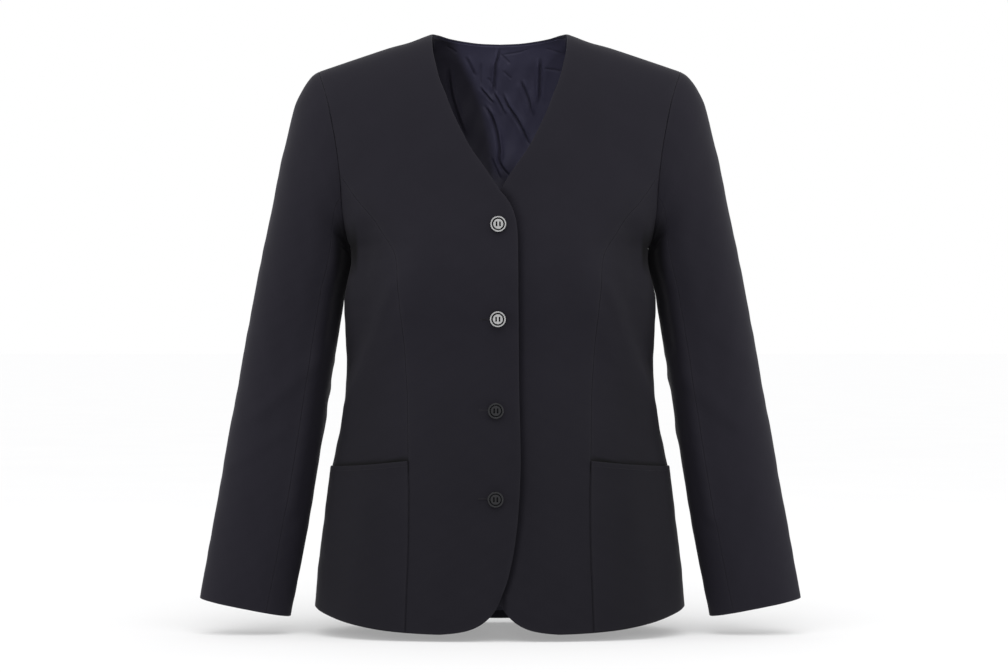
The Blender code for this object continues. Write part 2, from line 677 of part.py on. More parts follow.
# ---------------------------------------------------------------- pieces
def build_body(wool):
    grid = front_patch()
    seam_rows = (SHOULDER_ROWS, len(grid) - 1)
    for side, name in ((-1, "front_right"), (1, "front_left")):
        points, normals = panel(grid, {"first": None, "left": seam_rows})
        if side > 0:
            # this front lies under the other along the overlap
            dip = -OVERLAP_DIP * (1 - smoothstep(points[..., 0], 26.0, 62.0))
            dip *= smoothstep(-points[..., 2], 96.0, 150.0)
        else:
            dip = 0.0
        add_sheet(name, points, normals, BODY_CLOTH, wool, side, dip)
    grid = side_patch()
    for side, name in ((-1, "side_front_right"), (1, "side_front_left")):
        points, normals = panel(grid, {"left": None, "right": None})
        add_sheet(name, points, normals, BODY_CLOTH, wool, side)
    pocket_sheets(grid, wool)
    grid = back_patch()
    seam_rows = (SHOULDER_ROWS + BACK_CHEST_ROWS - 2, len(grid) - 1)
    ridge = (0, BACK_CELLS - 4)
    for side, name in ((-1, "back_right"), (1, "back_left")):
        points, normals = panel(grid, {"first": ridge, "left": seam_rows, "right": None})
        points[:, -1, 0] = SEAM_GAP / 2
        add_sheet(name, points, normals, BODY_CLOTH, wool, side)


def pocket_sheets(grid, wool):
    """A patch pocket on each side front, on the panel's own points moved out."""
    rows = grid[CHEST_ROWS:]
    points = torso(rows[..., 0], rows[..., 1])
    normals = torso_normals(rows[..., 0], rows[..., 1])
    for column, toward, share in ((0, 1, 0.025), (-1, -2, 0.12)):
        points[:, column] += (points[:, toward] - points[:, column]) * share
        normals[:, column] += (normals[:, toward] - normals[:, column]) * share
    points[-1] += (points[-2] - points[-1]) * 0.06
    normals /= np.linalg.norm(normals, axis=-1, keepdims=True)
    for side, name in ((-1, "pocket_right"), (1, "pocket_left")):
        add_sheet(name, points, normals, POCKET_CLOTH, wool, side, POCKET_LIFT + POCKET_CLOTH)


def build_sleeves(wool):
    front, back = FRONT_SLEEVE_SEAM, BACK_SLEEVE_SEAM
    for part, start, end, cells in (
        ("top", back - 360.0, front, TOP_SLEEVE_CELLS),
        ("under", front, back, UNDER_SLEEVE_CELLS),
    ):
        points, normals = sleeve_grid(start, end, cells)
        points = inset_edges(points, normals, {"left": None, "right": None}, SEAM_GAP / 2)
        for side, word in ((-1, "right"), (1, "left")):
            add_sheet(f"sleeve_{part}_{word}", points, normals, SLEEVE_CLOTH, wool, side)


def lining_reach(run):
    """Turn of the lining's side edge, clear of the armhole seam and the side seam."""
    arm = np.interp(run, ARMHOLE_LINE[:, 1], ARMHOLE_LINE[:, 0])
    clear = 0.14 + 0.40 * np.exp(-(((run - UNDERARM_RUN) / 75.0) ** 2))
    return np.where(run < UNDERARM_RUN, math.pi - arm, math.pi / 2) + clear


def lining_top(u):
    """Row of the lining's top edge: just under the back neck, then along the shoulder."""
    neck = np.array(BACK_NECK)
    neck_at = smooth_curve(neck[:, 0], neck[:, 1])
    run = np.full(np.shape(u), LINING_SHOULDER_RUN)
    for _ in range(20):
        turn = math.pi + u * (math.pi - lining_reach(run))
        x = np.abs(torso(turn, run)[..., 0])
        under_neck = run_at(x, neck_at(x) - LINING_NECK_DROP)
        run = np.where(x < neck[-1, 0], np.maximum(under_neck, LINING_SHOULDER_RUN), LINING_SHOULDER_RUN)
    return run


def build_lining(satin):
    """Back lining: inside the back from under the neck edge to above the hem."""
    u = np.linspace(-1, 1, LINING_CELLS + 1)
    v = np.linspace(0, 1, LINING_ROWS + 1)
    top = lining_top(u)
    end_run = float(run_at(0.0, -616.0))
    run = top[None] + (end_run - top[None]) * v[:, None] ** 1.5
    turn = math.pi + u[None] * (math.pi - lining_reach(run))
    points = torso(turn, run)
    normals = torso_normals(turn, run)
    # the pleat at centre back and two soft creases beside it
    x, z = points[..., 0], points[..., 2]
    crease = -1.6 * np.exp(-((x / 16.0) ** 2)) - 1.2 * np.exp(-(((x - 42 - 0.3 * z) / 14.0) ** 2))
    sheet = sheet_mesh("lining_back", points, normals, LINING_CLOTH, -LINING_INSET + crease)
    add_object("lining_back", sheet, satin)


def build_button(name, x, z, resin):
    run = run_at(x, z)
    turn = turn_at(x, run)
    centre = torso(turn, run)
    normal = torso_normals(turn, run)
    segments = 24
    bm = bmesh.new()
    rings = []
    for radius, height in BUTTON_PROFILE[1:-1]:
        ring = []
        for k in range(segments):
            angle = 2 * math.pi * k / segments
            ring.append(bm.verts.new((radius * math.cos(angle), radius * math.sin(angle), height)))
        rings.append(ring)
    bottom = bm.verts.new((0, 0, BUTTON_PROFILE[0][1]))
    top = bm.verts.new((0, 0, BUTTON_PROFILE[-1][1]))
    for k in range(segments):
        nxt = (k + 1) % segments
        bm.faces.new((bottom, rings[0][nxt], rings[0][k]))
        bm.faces.new((top, rings[-1][k], rings[-1][nxt]))
        for low, high in zip(rings, rings[1:]):
            bm.faces.new((low[k], low[nxt], high[nxt], high[k]))
    bmesh.ops.recalc_face_normals(bm, faces=bm.faces)
    mesh = bpy.data.meshes.new(name)
    bm.to_mesh(mesh)
    bm.free()
    disc = add_object(name, mesh, resin)
    bm = bmesh.new()
    for sx in (-1, 1):
        for sz in (-1, 1):
            made = bmesh.ops.create_cone(
                bm, cap_ends=True, segments=8, radius1=HOLE_RADIUS, radius2=HOLE_RADIUS, depth=12.0
            )
            bmesh.ops.translate(bm, verts=made["verts"], vec=(sx * HOLE_PITCH, sz * HOLE_PITCH, 1.0))
    cutter_mesh = bpy.data.meshes.new(name + "_holes")
    bm.to_mesh(cutter_mesh)
    bm.free()
    cutter = bpy.data.objects.new(name + "_holes", cutter_mesh)
    bpy.context.collection.objects.link(cutter)
    cut = disc.modifiers.new("holes", "BOOLEAN")
    cut.object = cutter
    cut.solver = "EXACT"
    view = bpy.context.evaluated_depsgraph_get()
    finished = bpy.data.meshes.new_from_object(disc.evaluated_get(view))
    disc.modifiers.clear()
    disc.data = finished
    bpy.data.objects.remove(cutter, do_unlink=True)
    # stand it on the cloth, facing out
    out = normal / np.linalg.norm(normal)
    across = np.cross(np.array([0.0, 0.0, 1.0]), out)
    across /= np.linalg.norm(across)
    up = np.cross(out, across)
    base = centre + out * 0.4
    for vertex in finished.vertices:
        px, py, pz = vertex.co
        spot = (base + across * px + up * py + out * pz) * MM
        vertex.co = spot.tolist()
    return disc


def main():
    for obj in list(bpy.data.objects):
        bpy.data.objects.remove(obj, do_unlink=True)
    wool = solid_material("wool", (0.020, 0.019, 0.024), 0.85, 0.25)
    satin = solid_material("satin", (0.020, 0.020, 0.035), 0.40)
    resin = solid_material("resin", (0.012, 0.012, 0.014), 0.18)
    build_body(wool)
    build_sleeves(wool)
    build_lining(satin)
    for k, (x, z) in enumerate(BUTTONS):
        build_button(f"button_{k + 1}", x, z, resin)


main()
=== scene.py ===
import bpy
import bmesh
import math
import numpy as np
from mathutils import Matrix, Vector


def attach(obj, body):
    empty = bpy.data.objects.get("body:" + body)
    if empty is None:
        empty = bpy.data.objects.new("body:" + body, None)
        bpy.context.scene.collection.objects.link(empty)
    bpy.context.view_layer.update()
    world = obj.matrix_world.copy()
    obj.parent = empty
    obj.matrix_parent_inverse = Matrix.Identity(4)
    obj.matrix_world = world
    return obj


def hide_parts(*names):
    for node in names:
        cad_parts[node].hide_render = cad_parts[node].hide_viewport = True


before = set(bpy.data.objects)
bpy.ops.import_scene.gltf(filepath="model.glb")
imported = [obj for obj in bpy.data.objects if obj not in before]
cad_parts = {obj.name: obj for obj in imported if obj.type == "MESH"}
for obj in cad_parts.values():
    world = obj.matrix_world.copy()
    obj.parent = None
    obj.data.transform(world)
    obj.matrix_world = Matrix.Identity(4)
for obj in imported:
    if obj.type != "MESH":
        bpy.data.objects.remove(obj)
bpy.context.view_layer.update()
mm = 0.001

# curves, through tables in millimetres: x from the centre, z above the shoulder points


def smoothCurve(xs, ys):  # monotone cubic through the rows of a table
    xs, ys = np.asarray(xs, float), np.asarray(ys, float)
    step = np.diff(xs)
    rise = np.diff(ys) / step
    slope = np.zeros(len(xs))
    slope[0], slope[-1] = rise[0], rise[-1]
    for k in range(1, len(xs) - 1):
        if rise[k - 1] * rise[k] > 0:
            a = 2 * step[k] + step[k - 1]
            b = step[k] + 2 * step[k - 1]
            slope[k] = (a + b) / (a / rise[k - 1] + b / rise[k])

    def value(x):
        x = np.clip(np.asarray(x, float), xs[0], xs[-1])
        k = np.clip(np.searchsorted(xs, x, side="right") - 1, 0, len(xs) - 2)
        h = step[k]
        s = (x - xs[k]) / h
        return ((1 + 2 * s) * (1 - s) ** 2 * ys[k] + s * (1 - s) ** 2 * h * slope[k]
                + s * s * (3 - 2 * s) * ys[k + 1] + s * s * (s - 1) * h * slope[k + 1])

    return value


def curveThrough(rows):
    return smoothCurve(*zip(*sorted(rows)))


def tableCurves(columns, rows, run):
    return {name: smoothCurve(run, [row[k] for row in rows]) for k, name in enumerate(columns)}


def smoothLine(knots, count):  # places on a smooth line through some points
    knots = np.array(knots, float)
    at = np.linspace(0, len(knots) - 1, count)
    return np.stack([smoothCurve(range(len(knots)), knots[:, k])(at) for k in range(2)], axis=1)


def runOver(points):  # the distance run along a line, at each of its points
    run = [0.0]
    for (a, b), (c, d) in zip(points, points[1:]):
        run.append(run[-1] + math.hypot(c - a, d - b))
    return run


def besideLine(a, b, da, db):  # share along a line from its start, and the way from it
    t = np.clip((a * da + b * db) / (da * da + db * db), 0, 1)
    return t, a - t * da, b - t * db


def ease(x, low, high):
    s = np.clip((np.asarray(x, float) - low) / (high - low), 0.0, 1.0)
    return s * s * (3 - 2 * s)


def unit(v):
    return v / np.maximum(np.linalg.norm(v, axis=-1, keepdims=True), 1e-12)


# the body's form

body = {
    "ridgeTop": 60,
    "ridgeRound": 40,
    "faceEase": (4, 34),  # a form fades between these distances from the side
    "shoulderHollow": (1.8, 103, 15),  # its depth, place and half width
    "backDrop": 3,
    "columns": ("down", "halfWidth", "front", "back", "slope", "sideRise", "square"),
    "rows": (
        (0, 213, 0, 0, 0.348, 0, 3.60),
        (3, 214, 26, 26, 0.348, 0, 3.60),
        (10, 216, 44, 43, 0.345, 0, 3.50),
        (25, 219, 61, 58, 0.335, 0, 3.25),
        (55, 222, 79, 76, 0.290, 0, 2.85),
        (95, 222, 93, 92, 0.210, 0, 2.52),
        (140, 215, 104, 104, 0.120, 0, 2.38),
        (190, 201, 112, 111, 0.050, 0, 2.40),
        (230, 186.5, 118, 112, 0.010, 0, 2.45),
        (252, 175.8, 121, 111, 0.002, 0, 2.48),
        (263, 170, 122, 110, 0, 0, 2.50),
        (275, 169.4, 123.2, 109, 0, 0, 2.50),
        (290, 171.6, 124, 107, 0, 0, 2.50),
        (322, 178.2, 122, 102, 0, 0, 2.45),
        (360, 177.4, 117, 95, 0, 1.8, 2.35),
        (405, 176, 112, 90, 0, 4.5, 2.30),
        (440, 177.4, 111, 92, 0, 6.6, 2.30),
        (470, 181.5, 112, 97, 0, 8.4, 2.32),
        (500, 187.4, 114, 103, 0, 10.2, 2.35),
        (530, 192.8, 116, 109, 0, 12, 2.40),
        (570, 198.2, 118.5, 115, 0, 14.5, 2.45),
        (610, 202.9, 121, 119, 0, 16.9, 2.45),
        (650, 206.9, 123, 122, 0, 19.3, 2.45),
        (696, 210.5, 125, 124, 0, 22, 2.45),
        (704, 211.1, 125.4, 124.4, 0, 22.5, 2.45),
    ),
    # soft forms, each along a line seen from the front: face (-1 front, +1 back), side,
    # x0, z0, x1, z1, spread, height
    "forms": (
        (-1, 0, 88, -222, 96, -248, 46, 6),
        (-1, -1, 112, -292, 170, -392, 15, 2.4),
        (-1, 1, 110, -280, 172, -398, 16, 2.6),
        (-1, -1, 150, -262, 168, -330, 15, -2),
        (-1, 1, 150, -258, 168, -334, 15, -2),
        (1, -1, 60, -330, 160, -372, 17, 2),
        (1, 1, 52, -352, 150, -338, 16, 2.2),
        (1, 0, 84, -120, 92, -160, 48, 4),
    ),
    # the finer creases of the cloth, same columns
    "creases": (
        (-1, -1, 161, -172, 163, -236, 9, 1.8),
        (-1, 1, 161, -170, 164, -240, 9, 1.7),
        (-1, -1, 146, -186, 152, -262, 11, -1.8),
        (-1, 1, 147, -184, 153, -268, 11, -1.7),
        (-1, -1, 120, -258, 169, -376, 8, 1.5),
        (-1, 1, 118, -250, 171, -384, 7.5, 1.8),
        (-1, -1, 134, -250, 176, -336, 9, -1.1),
        (-1, 1, 133, -244, 176, -340, 9, -1.2),
        (-1, -1, 128, -98, 168, -132, 15, -0.9),
        (-1, 1, 130, -92, 170, -128, 15, -0.9),
        (-1, -1, 56, -330, 84, -356, 20, -0.6),
        (-1, 1, 50, -214, 78, -268, 22, -0.6),
        (-1, -1, 60, -500, 66, -610, 13, 0.7),
        (-1, 1, 64, -480, 72, -612, 14, 0.7),
        (-1, -1, 152, -470, 168, -600, 15, 0.9),
        (-1, 1, 150, -486, 170, -606, 15, 0.9),
        (1, -1, 96, -350, 165, -330, 8, 1.5),
        (1, -1, 70, -378, 158, -400, 8.5, 1.4),
        (1, 1, 88, -366, 160, -392, 8, 1.6),
        (1, 1, 66, -338, 150, -318, 9, 1.2),
        (1, -1, 128, -120, 160, -182, 11, 1.6),
        (1, 1, 132, -114, 162, -190, 11, 1.4),
        (1, -1, 40, -480, 52, -610, 19, 1.1),
        (1, 1, 58, -470, 64, -612, 20, 1),
        (1, 1, 120, -500, 132, -606, 17, 1),
        (1, -1, 132, -490, 140, -604, 18, 1),
    ),
}

armholeRows = (
    (6, 207.6), (0, 207), (-19, 200.5), (-36, 195.5), (-59, 190.8), (-82, 186.3),
    (-104, 183), (-127, 180.6), (-150, 179), (-167, 177.3), (-180, 175.6),
    (-192, 173.3), (-203, 170.4), (-220, 168),
)
princessRows = (
    (-122, 180.8), (-150, 161), (-168, 145), (-190.5, 129), (-212, 114.5),
    (-225, 111.5), (-244, 110.5), (-283, 107), (-336, 105), (-380, 103),
    (-442, 102), (-486, 101), (-529, 101.5), (-636, 105),
)
# past the centre, where the fronts overlap, the distance is negative
frontEdgeRows = (
    (44, 77.5), (22, 76), (3.5, 72), (-14.6, 67.3), (-28.7, 61.5), (-47.3, 54.6),
    (-64.6, 46.7), (-80.7, 38.8), (-93.2, 32), (-109.2, 20.8), (-123.9, 10.7),
    (-140.9, -0.4), (-152.1, -9.4), (-165.5, -16), (-180, -19.4), (-196.8, -20.5),
    (-263.6, -21), (-375, -22.2), (-442, -23.6), (-475, -22.7), (-508.4, -20.4),
    (-536, -17.2), (-558.4, -13.2), (-577.3, -8.5), (-594, -2.2),
)
frontCornerRows = (
    (-2.2, -594), (2.6, -605.2), (11.8, -617.6), (25, -627.2), (39.6, -632.3),
    (55, -634.8), (70, -636),
)
backNeckRows = ((0, 37.2), (20, 37.7), (40, 39.6), (58, 42), (70, 43.9), (77.2, 43.65))


bodyRun = runOver([(row[0], (row[2] + row[3]) / 2) for row in body["rows"]])
bodyAt = tableCurves(body["columns"], body["rows"], bodyRun)
armholeAt, princessAt = curveThrough(armholeRows), curveThrough(princessRows)
frontEdgeAt, backNeckAt = curveThrough(frontEdgeRows), curveThrough(backNeckRows)
hemRun = bodyRun[-2]


def ringHeight(x, run):
    x = np.abs(x)
    width = bodyAt["halfWidth"](run)
    fall = bodyAt["slope"](run) * (np.sqrt(x * x + body["ridgeRound"] ** 2) - body["ridgeRound"])
    depth, at, reach = body["shoulderHollow"]
    fall = fall + depth * (np.exp(-(((x - at) / reach) ** 2)) * (1 - ease(run, 0, 60)))
    rise = bodyAt["sideRise"](run) * np.clip(x / width, 0, 1) ** 3.8
    return body["ridgeTop"] - bodyAt["down"](run) - fall + rise


def runAt(x, z):
    x, z = np.broadcast_arrays(np.asarray(x, float), np.asarray(z, float))
    low, high = np.zeros(x.shape), np.full(x.shape, bodyRun[-1])
    for _ in range(48):
        mid = (low + high) / 2
        above = ringHeight(x, mid) > z
        low, high = np.where(above, mid, low), np.where(above, high, mid)
    return (low + high) / 2


def turnAt(x, run):
    share = np.clip(np.abs(x) / bodyAt["halfWidth"](run), 0.0, 1.0)
    n = bodyAt["square"](run)
    return np.sign(x) * np.arctan2(share, (1 - share**n) ** (1 / n))


def ringRadius(c, s, square):  # of a rounded square, at a turn of that cosine and sine
    return (np.abs(c) ** square + np.abs(s) ** square) ** (-1 / square)


def lineForms(rows, x, y, z):
    total = np.zeros(np.shape(x))
    for face, side, x0, z0, x1, z1, spread, height in rows:
        for s in ((side,) if side else (-1, 1)):
            _, a, b = besideLine(x * s - x0, z - z0, x1 - x0, z1 - z0)
            form = height * np.exp(-((np.hypot(a, b) / spread) ** 2))
            total = total + form * ease(y * face, *body["faceEase"])
    return total


def handling(x, y, z):  # the slight unevenness of cloth that has been handled
    return (0.34 * np.sin(x * 0.061 + z * 0.023 + 1.3) * np.sin(z * 0.047 - x * 0.011)
            + 0.26 * np.sin(x * 0.117 - z * 0.067 + y * 0.03) * np.sin(z * 0.091 + 0.7)
            + 0.16 * np.sin(x * 0.19 + z * 0.13 + 2.0) * np.sin(z * 0.171 - y * 0.08))


def bodyPoint(turn, run, creased=True):
    turn, run = np.broadcast_arrays(np.asarray(turn, float), np.asarray(run, float))
    c, s = np.cos(turn), np.sin(turn)
    radius = ringRadius(c, s, bodyAt["square"](run))
    x = bodyAt["halfWidth"](run) * radius * s
    y = -np.where(c > 0, bodyAt["front"](run), bodyAt["back"](run)) * radius * c
    z = ringHeight(x, run)
    out = lineForms(body["forms"], x, y, z)
    if creased:
        quiet = ease(run, 20, 90)
        out = out + lineForms(body["creases"], x, y, z) + handling(x, y, z) * quiet
    return np.stack([x + out * s, y - out * c, z], axis=-1)


def surfaceNormals(surface, a, b, stepA, stepB):
    da = surface(a + stepA, b) - surface(a - stepA, b)
    db = surface(a, b + stepB) - surface(a, b - stepB)
    return unit(np.cross(da, db))


def bodyNormals(turn, run):
    run = np.maximum(run, 0.6)
    n = -surfaceNormals(bodyPoint, turn, run, 2e-3, 0.5)
    level = n * (1, 0, 1)
    share = (1 - ease(run, 0.6, 9))[..., None]
    return unit(n * (1 - share) + unit(level) * share)


def overBody(grid):
    return bodyPoint(grid[..., 0], grid[..., 1]), bodyNormals(grid[..., 0], grid[..., 1])


# grids over the body: a place is a turn from the front's middle and a run down from the ridge

closeRows = np.array([0.35, 0.8, 1.4, 2.2, 3.4])  # from a panel's edge
closeGap = 1.02  # at least, from the last of them to the next row
sideTurn = math.pi / 2


def arcOf(line):
    solid = bodyPoint(line[:, 0], line[:, 1], False)
    return np.concatenate([[0], np.cumsum(np.linalg.norm(np.diff(solid, axis=0), axis=1))])


def fitted(values, count):  # the same count on every side, whatever its length
    return np.interp(np.linspace(0, len(values) - 1, count), np.arange(len(values)), values)


def sideLine(parts, counts):  # one side of a panel, with close rows at both of its ends
    lines = []
    for k, (part, count) in enumerate(zip(parts, counts)):
        arc = arcOf(part)
        count += 1
        at = np.linspace(0, arc[-1], count)
        if k == 0:
            count += len(closeRows)
            rest = at[at > closeRows[-1] + closeGap]
            at = fitted(np.concatenate([[0], closeRows, rest]), count)
        if k == len(parts) - 1:
            count += len(closeRows)
            tail = arc[-1] - closeRows[::-1]
            at = fitted(np.concatenate([at[at < tail[0] - closeGap], tail, arc[-1:]]), count)
        line = np.stack([np.interp(at, arc, part[:, axis]) for axis in range(2)], axis=1)
        lines.append(line[1:] if k else line)
    return np.concatenate(lines)


def bodyPatch(left, right, top, bottom):
    shares = [arc / arc[-1] for arc in map(arcOf, (left, right, top, bottom))]
    v = ((shares[0] + shares[1]) / 2)[:, None, None]
    u = ((shares[2] + shares[3]) / 2)[None, :, None]
    corners = ((1 - u) * (1 - v) * top[0] + u * (1 - v) * top[-1]
               + (1 - u) * v * bottom[0] + u * v * bottom[-1])
    across = (1 - u) * left[:, None] + u * right[:, None]
    return across + (1 - v) * top[None] + v * bottom[None] - corners


def frontPoints(xs, zs):  # the grid's places of points seen from the front
    run = runAt(xs, zs)
    return np.stack([turnAt(xs, run), run], axis=1)


def onBack(line):  # the same line on the back
    return line * (-1, 1) + (math.pi, 0)


def cutLine(line, *levels):  # its parts between each two levels
    parts = []
    for low, high in zip(levels, levels[1:]):
        ends = [np.interp(level, line[:, 1], line[:, 0]) for level in (low, high)]
        inner = line[(line[:, 1] > low + 1e-6) & (line[:, 1] < high - 1e-6)]
        parts.append(np.concatenate([[[ends[0], low]], inner, [[ends[1], high]]]))
    return parts


def straight(start, end, count=60):
    s = np.linspace(0, 1, count)[:, None]
    return np.asarray(start) * (1 - s) + np.asarray(end) * s


def upright(turn, *levels):
    return [straight([turn, low], [turn, high]) for low, high in zip(levels, levels[1:])]


def findUnderarm():
    runs = np.linspace(250, 420, 3401)
    width = bodyAt["halfWidth"](runs)
    height = ringHeight(width, runs)
    return float(runs[(width < armholeAt(height)) & (height < -150)][0])


underarmRun = findUnderarm()


def armholeLine(count=900):
    s = np.linspace(0, 1, count)
    runs = underarmRun * (1 - (1 - s) ** 2.2)
    x = np.full(count, 200.0)
    for _ in range(40):
        x = np.minimum(armholeAt(ringHeight(x, runs)), bodyAt["halfWidth"](runs))
    return np.stack([turnAt(x, runs), runs], axis=1)


armhole = armholeLine()


def princessLine(low=-634.8, count=500):
    z = np.linspace(princessRows[0][0], low, count)
    line = frontPoints(princessAt(z), z)
    line[:, 1] = np.minimum(line[:, 1], hemRun)
    arm = np.interp(line[:, 1], armhole[:, 1], armhole[:, 0])
    first = np.nonzero(line[:, 0] < arm - 1e-4)[0][0]
    line = line[first:]
    line[0, 0] = arm[first]
    line[-1, 1] = hemRun
    return line


princess = princessLine()
princessRun = princess[0, 1]
ridgeTurn = float(turnAt(frontEdgeRows[0][1], 0.0))

gridCounts = {"shoulder": 32, "chest": 80, "skirt": 50, "upperBack": 56,
              "front": 36, "side": 28, "back": 34, "neck": 24}
# where the rows of the panels meet a front's edge, the pocket's corner and the side seam
frontLevels = [float(runAt(x, z)) for x, z in ((10, -128), (20, -441))]
pocketRun, sidePocketRun = float(runAt(102, -443.3)), float(runAt(193, -452.4))


def frontGrid():
    rows = [gridCounts[part] for part in ("shoulder", "chest", "skirt")]
    columns = [gridCounts["front"]]
    outer = sideLine(cutLine(armhole, 0, princessRun)
                     + cutLine(princess, princessRun, pocketRun, hemRun), rows)
    z = np.linspace(frontEdgeRows[0][0] - 0.6, frontEdgeRows[-1][0], 700)
    line = frontPoints(frontEdgeAt(z), z)
    line[0] = [ridgeTurn, 0]
    inner = sideLine(cutLine(line, 0, *frontLevels, line[-1, 1]), rows)
    top = sideLine([straight(outer[0], inner[0])], columns)
    lower = frontPoints(*smoothLine(frontCornerRows, 160).T)
    lower[:, 1] = np.minimum(lower[:, 1], hemRun)
    lower[-1, 1] = hemRun
    hem = np.concatenate([lower, straight(lower[-1], [outer[-1, 0], hemRun])[1:]])[::-1]
    bottom = sideLine([hem], columns)
    bottom[0], bottom[-1] = outer[-1], inner[-1]
    return bodyPatch(outer, inner, top, bottom)


def sideGrid():
    rows, columns = [gridCounts["chest"], gridCounts["skirt"]], [gridCounts["side"]]
    left = sideLine(cutLine(princess, princessRun, pocketRun, hemRun), rows)
    right = sideLine(upright(sideTurn, underarmRun, sidePocketRun, hemRun), rows)
    top = sideLine(cutLine(armhole, princessRun, underarmRun), columns)
    bottom = sideLine([straight(left[-1], right[-1])], columns)
    top[0], top[-1] = left[0], right[0]
    return bodyPatch(left, right, top, bottom)


def backGrid():
    rows = [gridCounts["upperBack"], gridCounts["chest"] + gridCounts["skirt"]]
    columns = [gridCounts["back"], gridCounts["neck"]]
    outer = sideLine(cutLine(onBack(armhole), 0, underarmRun)
                     + upright(sideTurn, underarmRun, hemRun), rows)
    x = np.linspace(0, backNeckRows[-1][0], 160)
    line = onBack(frontPoints(x, backNeckAt(x)))
    line[0, 0] = math.pi
    line[-1] = [math.pi - ridgeTurn, 0]
    top = sideLine([straight(outer[0], line[-1]), line[::-1]], columns)
    levels = line[0, 1], underarmRun - 6, hemRun + body["backDrop"]
    inner = sideLine(upright(math.pi, *levels), rows)
    bottom = sideLine([straight(outer[-1], inner[-1])], [sum(columns)])
    return bodyPatch(outer, inner, top, bottom)


# the sleeves' form

sleeveForm = {
    "columns": ("outX", "outZ", "inX", "inZ", "depth", "fore", "square"),
    "rows": (
        (207.2, 0, 170.6, -201.8, 61, 0, 2.05),
        (213.9, -4, 170.9, -202.4, 61.5, 0, 2.05),
        (220.6, -11.5, 171, -203.2, 62, 0.5, 2.05),
        (228.2, -23.5, 171, -204.2, 62.5, 1, 2.08),
        (235.3, -38.5, 171, -205.5, 63, 2, 2.10),
        (240, -56, 170.8, -207.2, 63, 3, 2.12),
        (244.4, -76, 170.4, -209.4, 62.5, 4, 2.14),
        (250.5, -101, 169.8, -212.6, 61.5, 5, 2.18),
        (256.8, -131, 169.4, -217.2, 60.5, 5, 2.26),
        (263.2, -164, 170.2, -224, 59.5, 5, 2.38),
        (270.2, -198, 172.8, -234.6, 58.5, 5, 2.48),
        (277, -232, 178.2, -252.6, 57.5, 5, 2.52),
        (283.8, -267, 183.5, -285.6, 56, 5, 2.50),
        (293.6, -320, 192.2, -339, 53, 4, 2.50),
        (304, -380, 200.8, -399.5, 50, 1, 2.48),
        (314.8, -440, 210, -460, 46, -4, 2.45),
        (324.9, -500, 219.6, -520, 41, -9, 2.40),
        (335.2, -560, 230.4, -580, 35.5, -14, 2.20),
        (342.8, -603.2, 239.6, -623.8, 31.5, -18, 2.20),
    ),
    "frontSeam": 119,
    "backSeam": 262,
    "cells": 156,
    "handled": (1.2, 1.6, 1),  # how much closer the unevenness lies than on the body
    "armholeGap": 0.1,
    "underarmBack": 9,
    "armholeFade": 95,
    "fullerRight": (0, 0.4),  # outer and inner side, past the table above
    "fullerLeft": (1.3, -0.9),
    # turn0, run0, turn1, run1 (degrees and millimetres), spread, height
    "foldsRight": (
        (130, 120, 126, 500, 9.5, 2.8),
        (152, 130, 150, 300, 14, -3.5),
        (128, 330, 70, 402, 9, 1.4),
        (96, 420, 40, 470, 10, 0.9),
        (205, 330, 262, 372, 9, 2),
        (196, 362, 258, 410, 9, 1.8),
        (188, 396, 246, 448, 10, 1.4),
        (60, 60, 84, 190, 14, -0.9),
        (286, 70, 268, 200, 15, -1.2),
        (330, 500, 345, 610, 16, 0.8),
    ),
    "foldsLeft": (
        (131, 120, 125, 510, 9.5, 2.8),
        (152, 130, 150, 310, 14, -3.5),
        (130, 350, 76, 412, 9, 1.2),
        (90, 300, 50, 340, 11, 0.7),
        (206, 322, 260, 356, 9, 1.8),
        (198, 350, 262, 402, 9, 2.1),
        (190, 408, 244, 440, 10, 1.3),
        (56, 66, 80, 200, 14, -1),
        (284, 60, 266, 210, 15, -1.1),
        (20, 520, 10, 620, 16, 0.7),
    ),
}


degreeWidth = 0.9  # about how many millimetres a degree is round a sleeve
sleeveRun = runOver([row[:2] for row in sleeveForm["rows"]])
sleeveAt = tableCurves(sleeveForm["columns"], sleeveForm["rows"], sleeveRun)


def plainSleeve(turn, run):
    at = {name: curve(run) for name, curve in sleeveAt.items()}
    c, s = np.cos(turn), np.sin(turn)
    radius = ringRadius(c, s, at["square"])
    x, z = [(at["out" + axis] + at["in" + axis]) / 2
            + (at["out" + axis] - at["in" + axis]) / 2 * radius * c for axis in "XZ"]
    # under the arm the inner side lies farther back, behind the body's side
    behind = sleeveForm["underarmBack"] * ease(run, 20, 130) * (1 - ease(run, 240, 360))
    behind = behind * np.clip(-c, 0, 1) ** 2
    return np.stack([x, at["fore"] + behind - at["depth"] * radius * s, z], axis=-1)


armholeFront, armholeBack = [bodyPoint(line[:, 0], line[:, 1], False)
                             for line in (armhole, onBack(armhole))]


def armholeRing(turn):
    top, low = armholeFront[0], armholeFront[-1]
    chord = unit(low - top)
    key = np.arccos(np.cos(turn))
    result = np.zeros(np.shape(turn) + (3,))
    for pick, line in ((np.sin(turn) >= 0, armholeFront), (np.sin(turn) < 0, armholeBack)):
        along = np.maximum.accumulate((line - top) @ chord)
        angle = np.arccos(np.clip(1 - 2 * along / along[-1], -1, 1))
        angle = np.maximum.accumulate(angle) + np.linspace(0, 1e-7, len(angle))
        for k in range(3):
            result[..., k] = np.where(pick, np.interp(key, angle, line[:, k]), result[..., k])
    return result


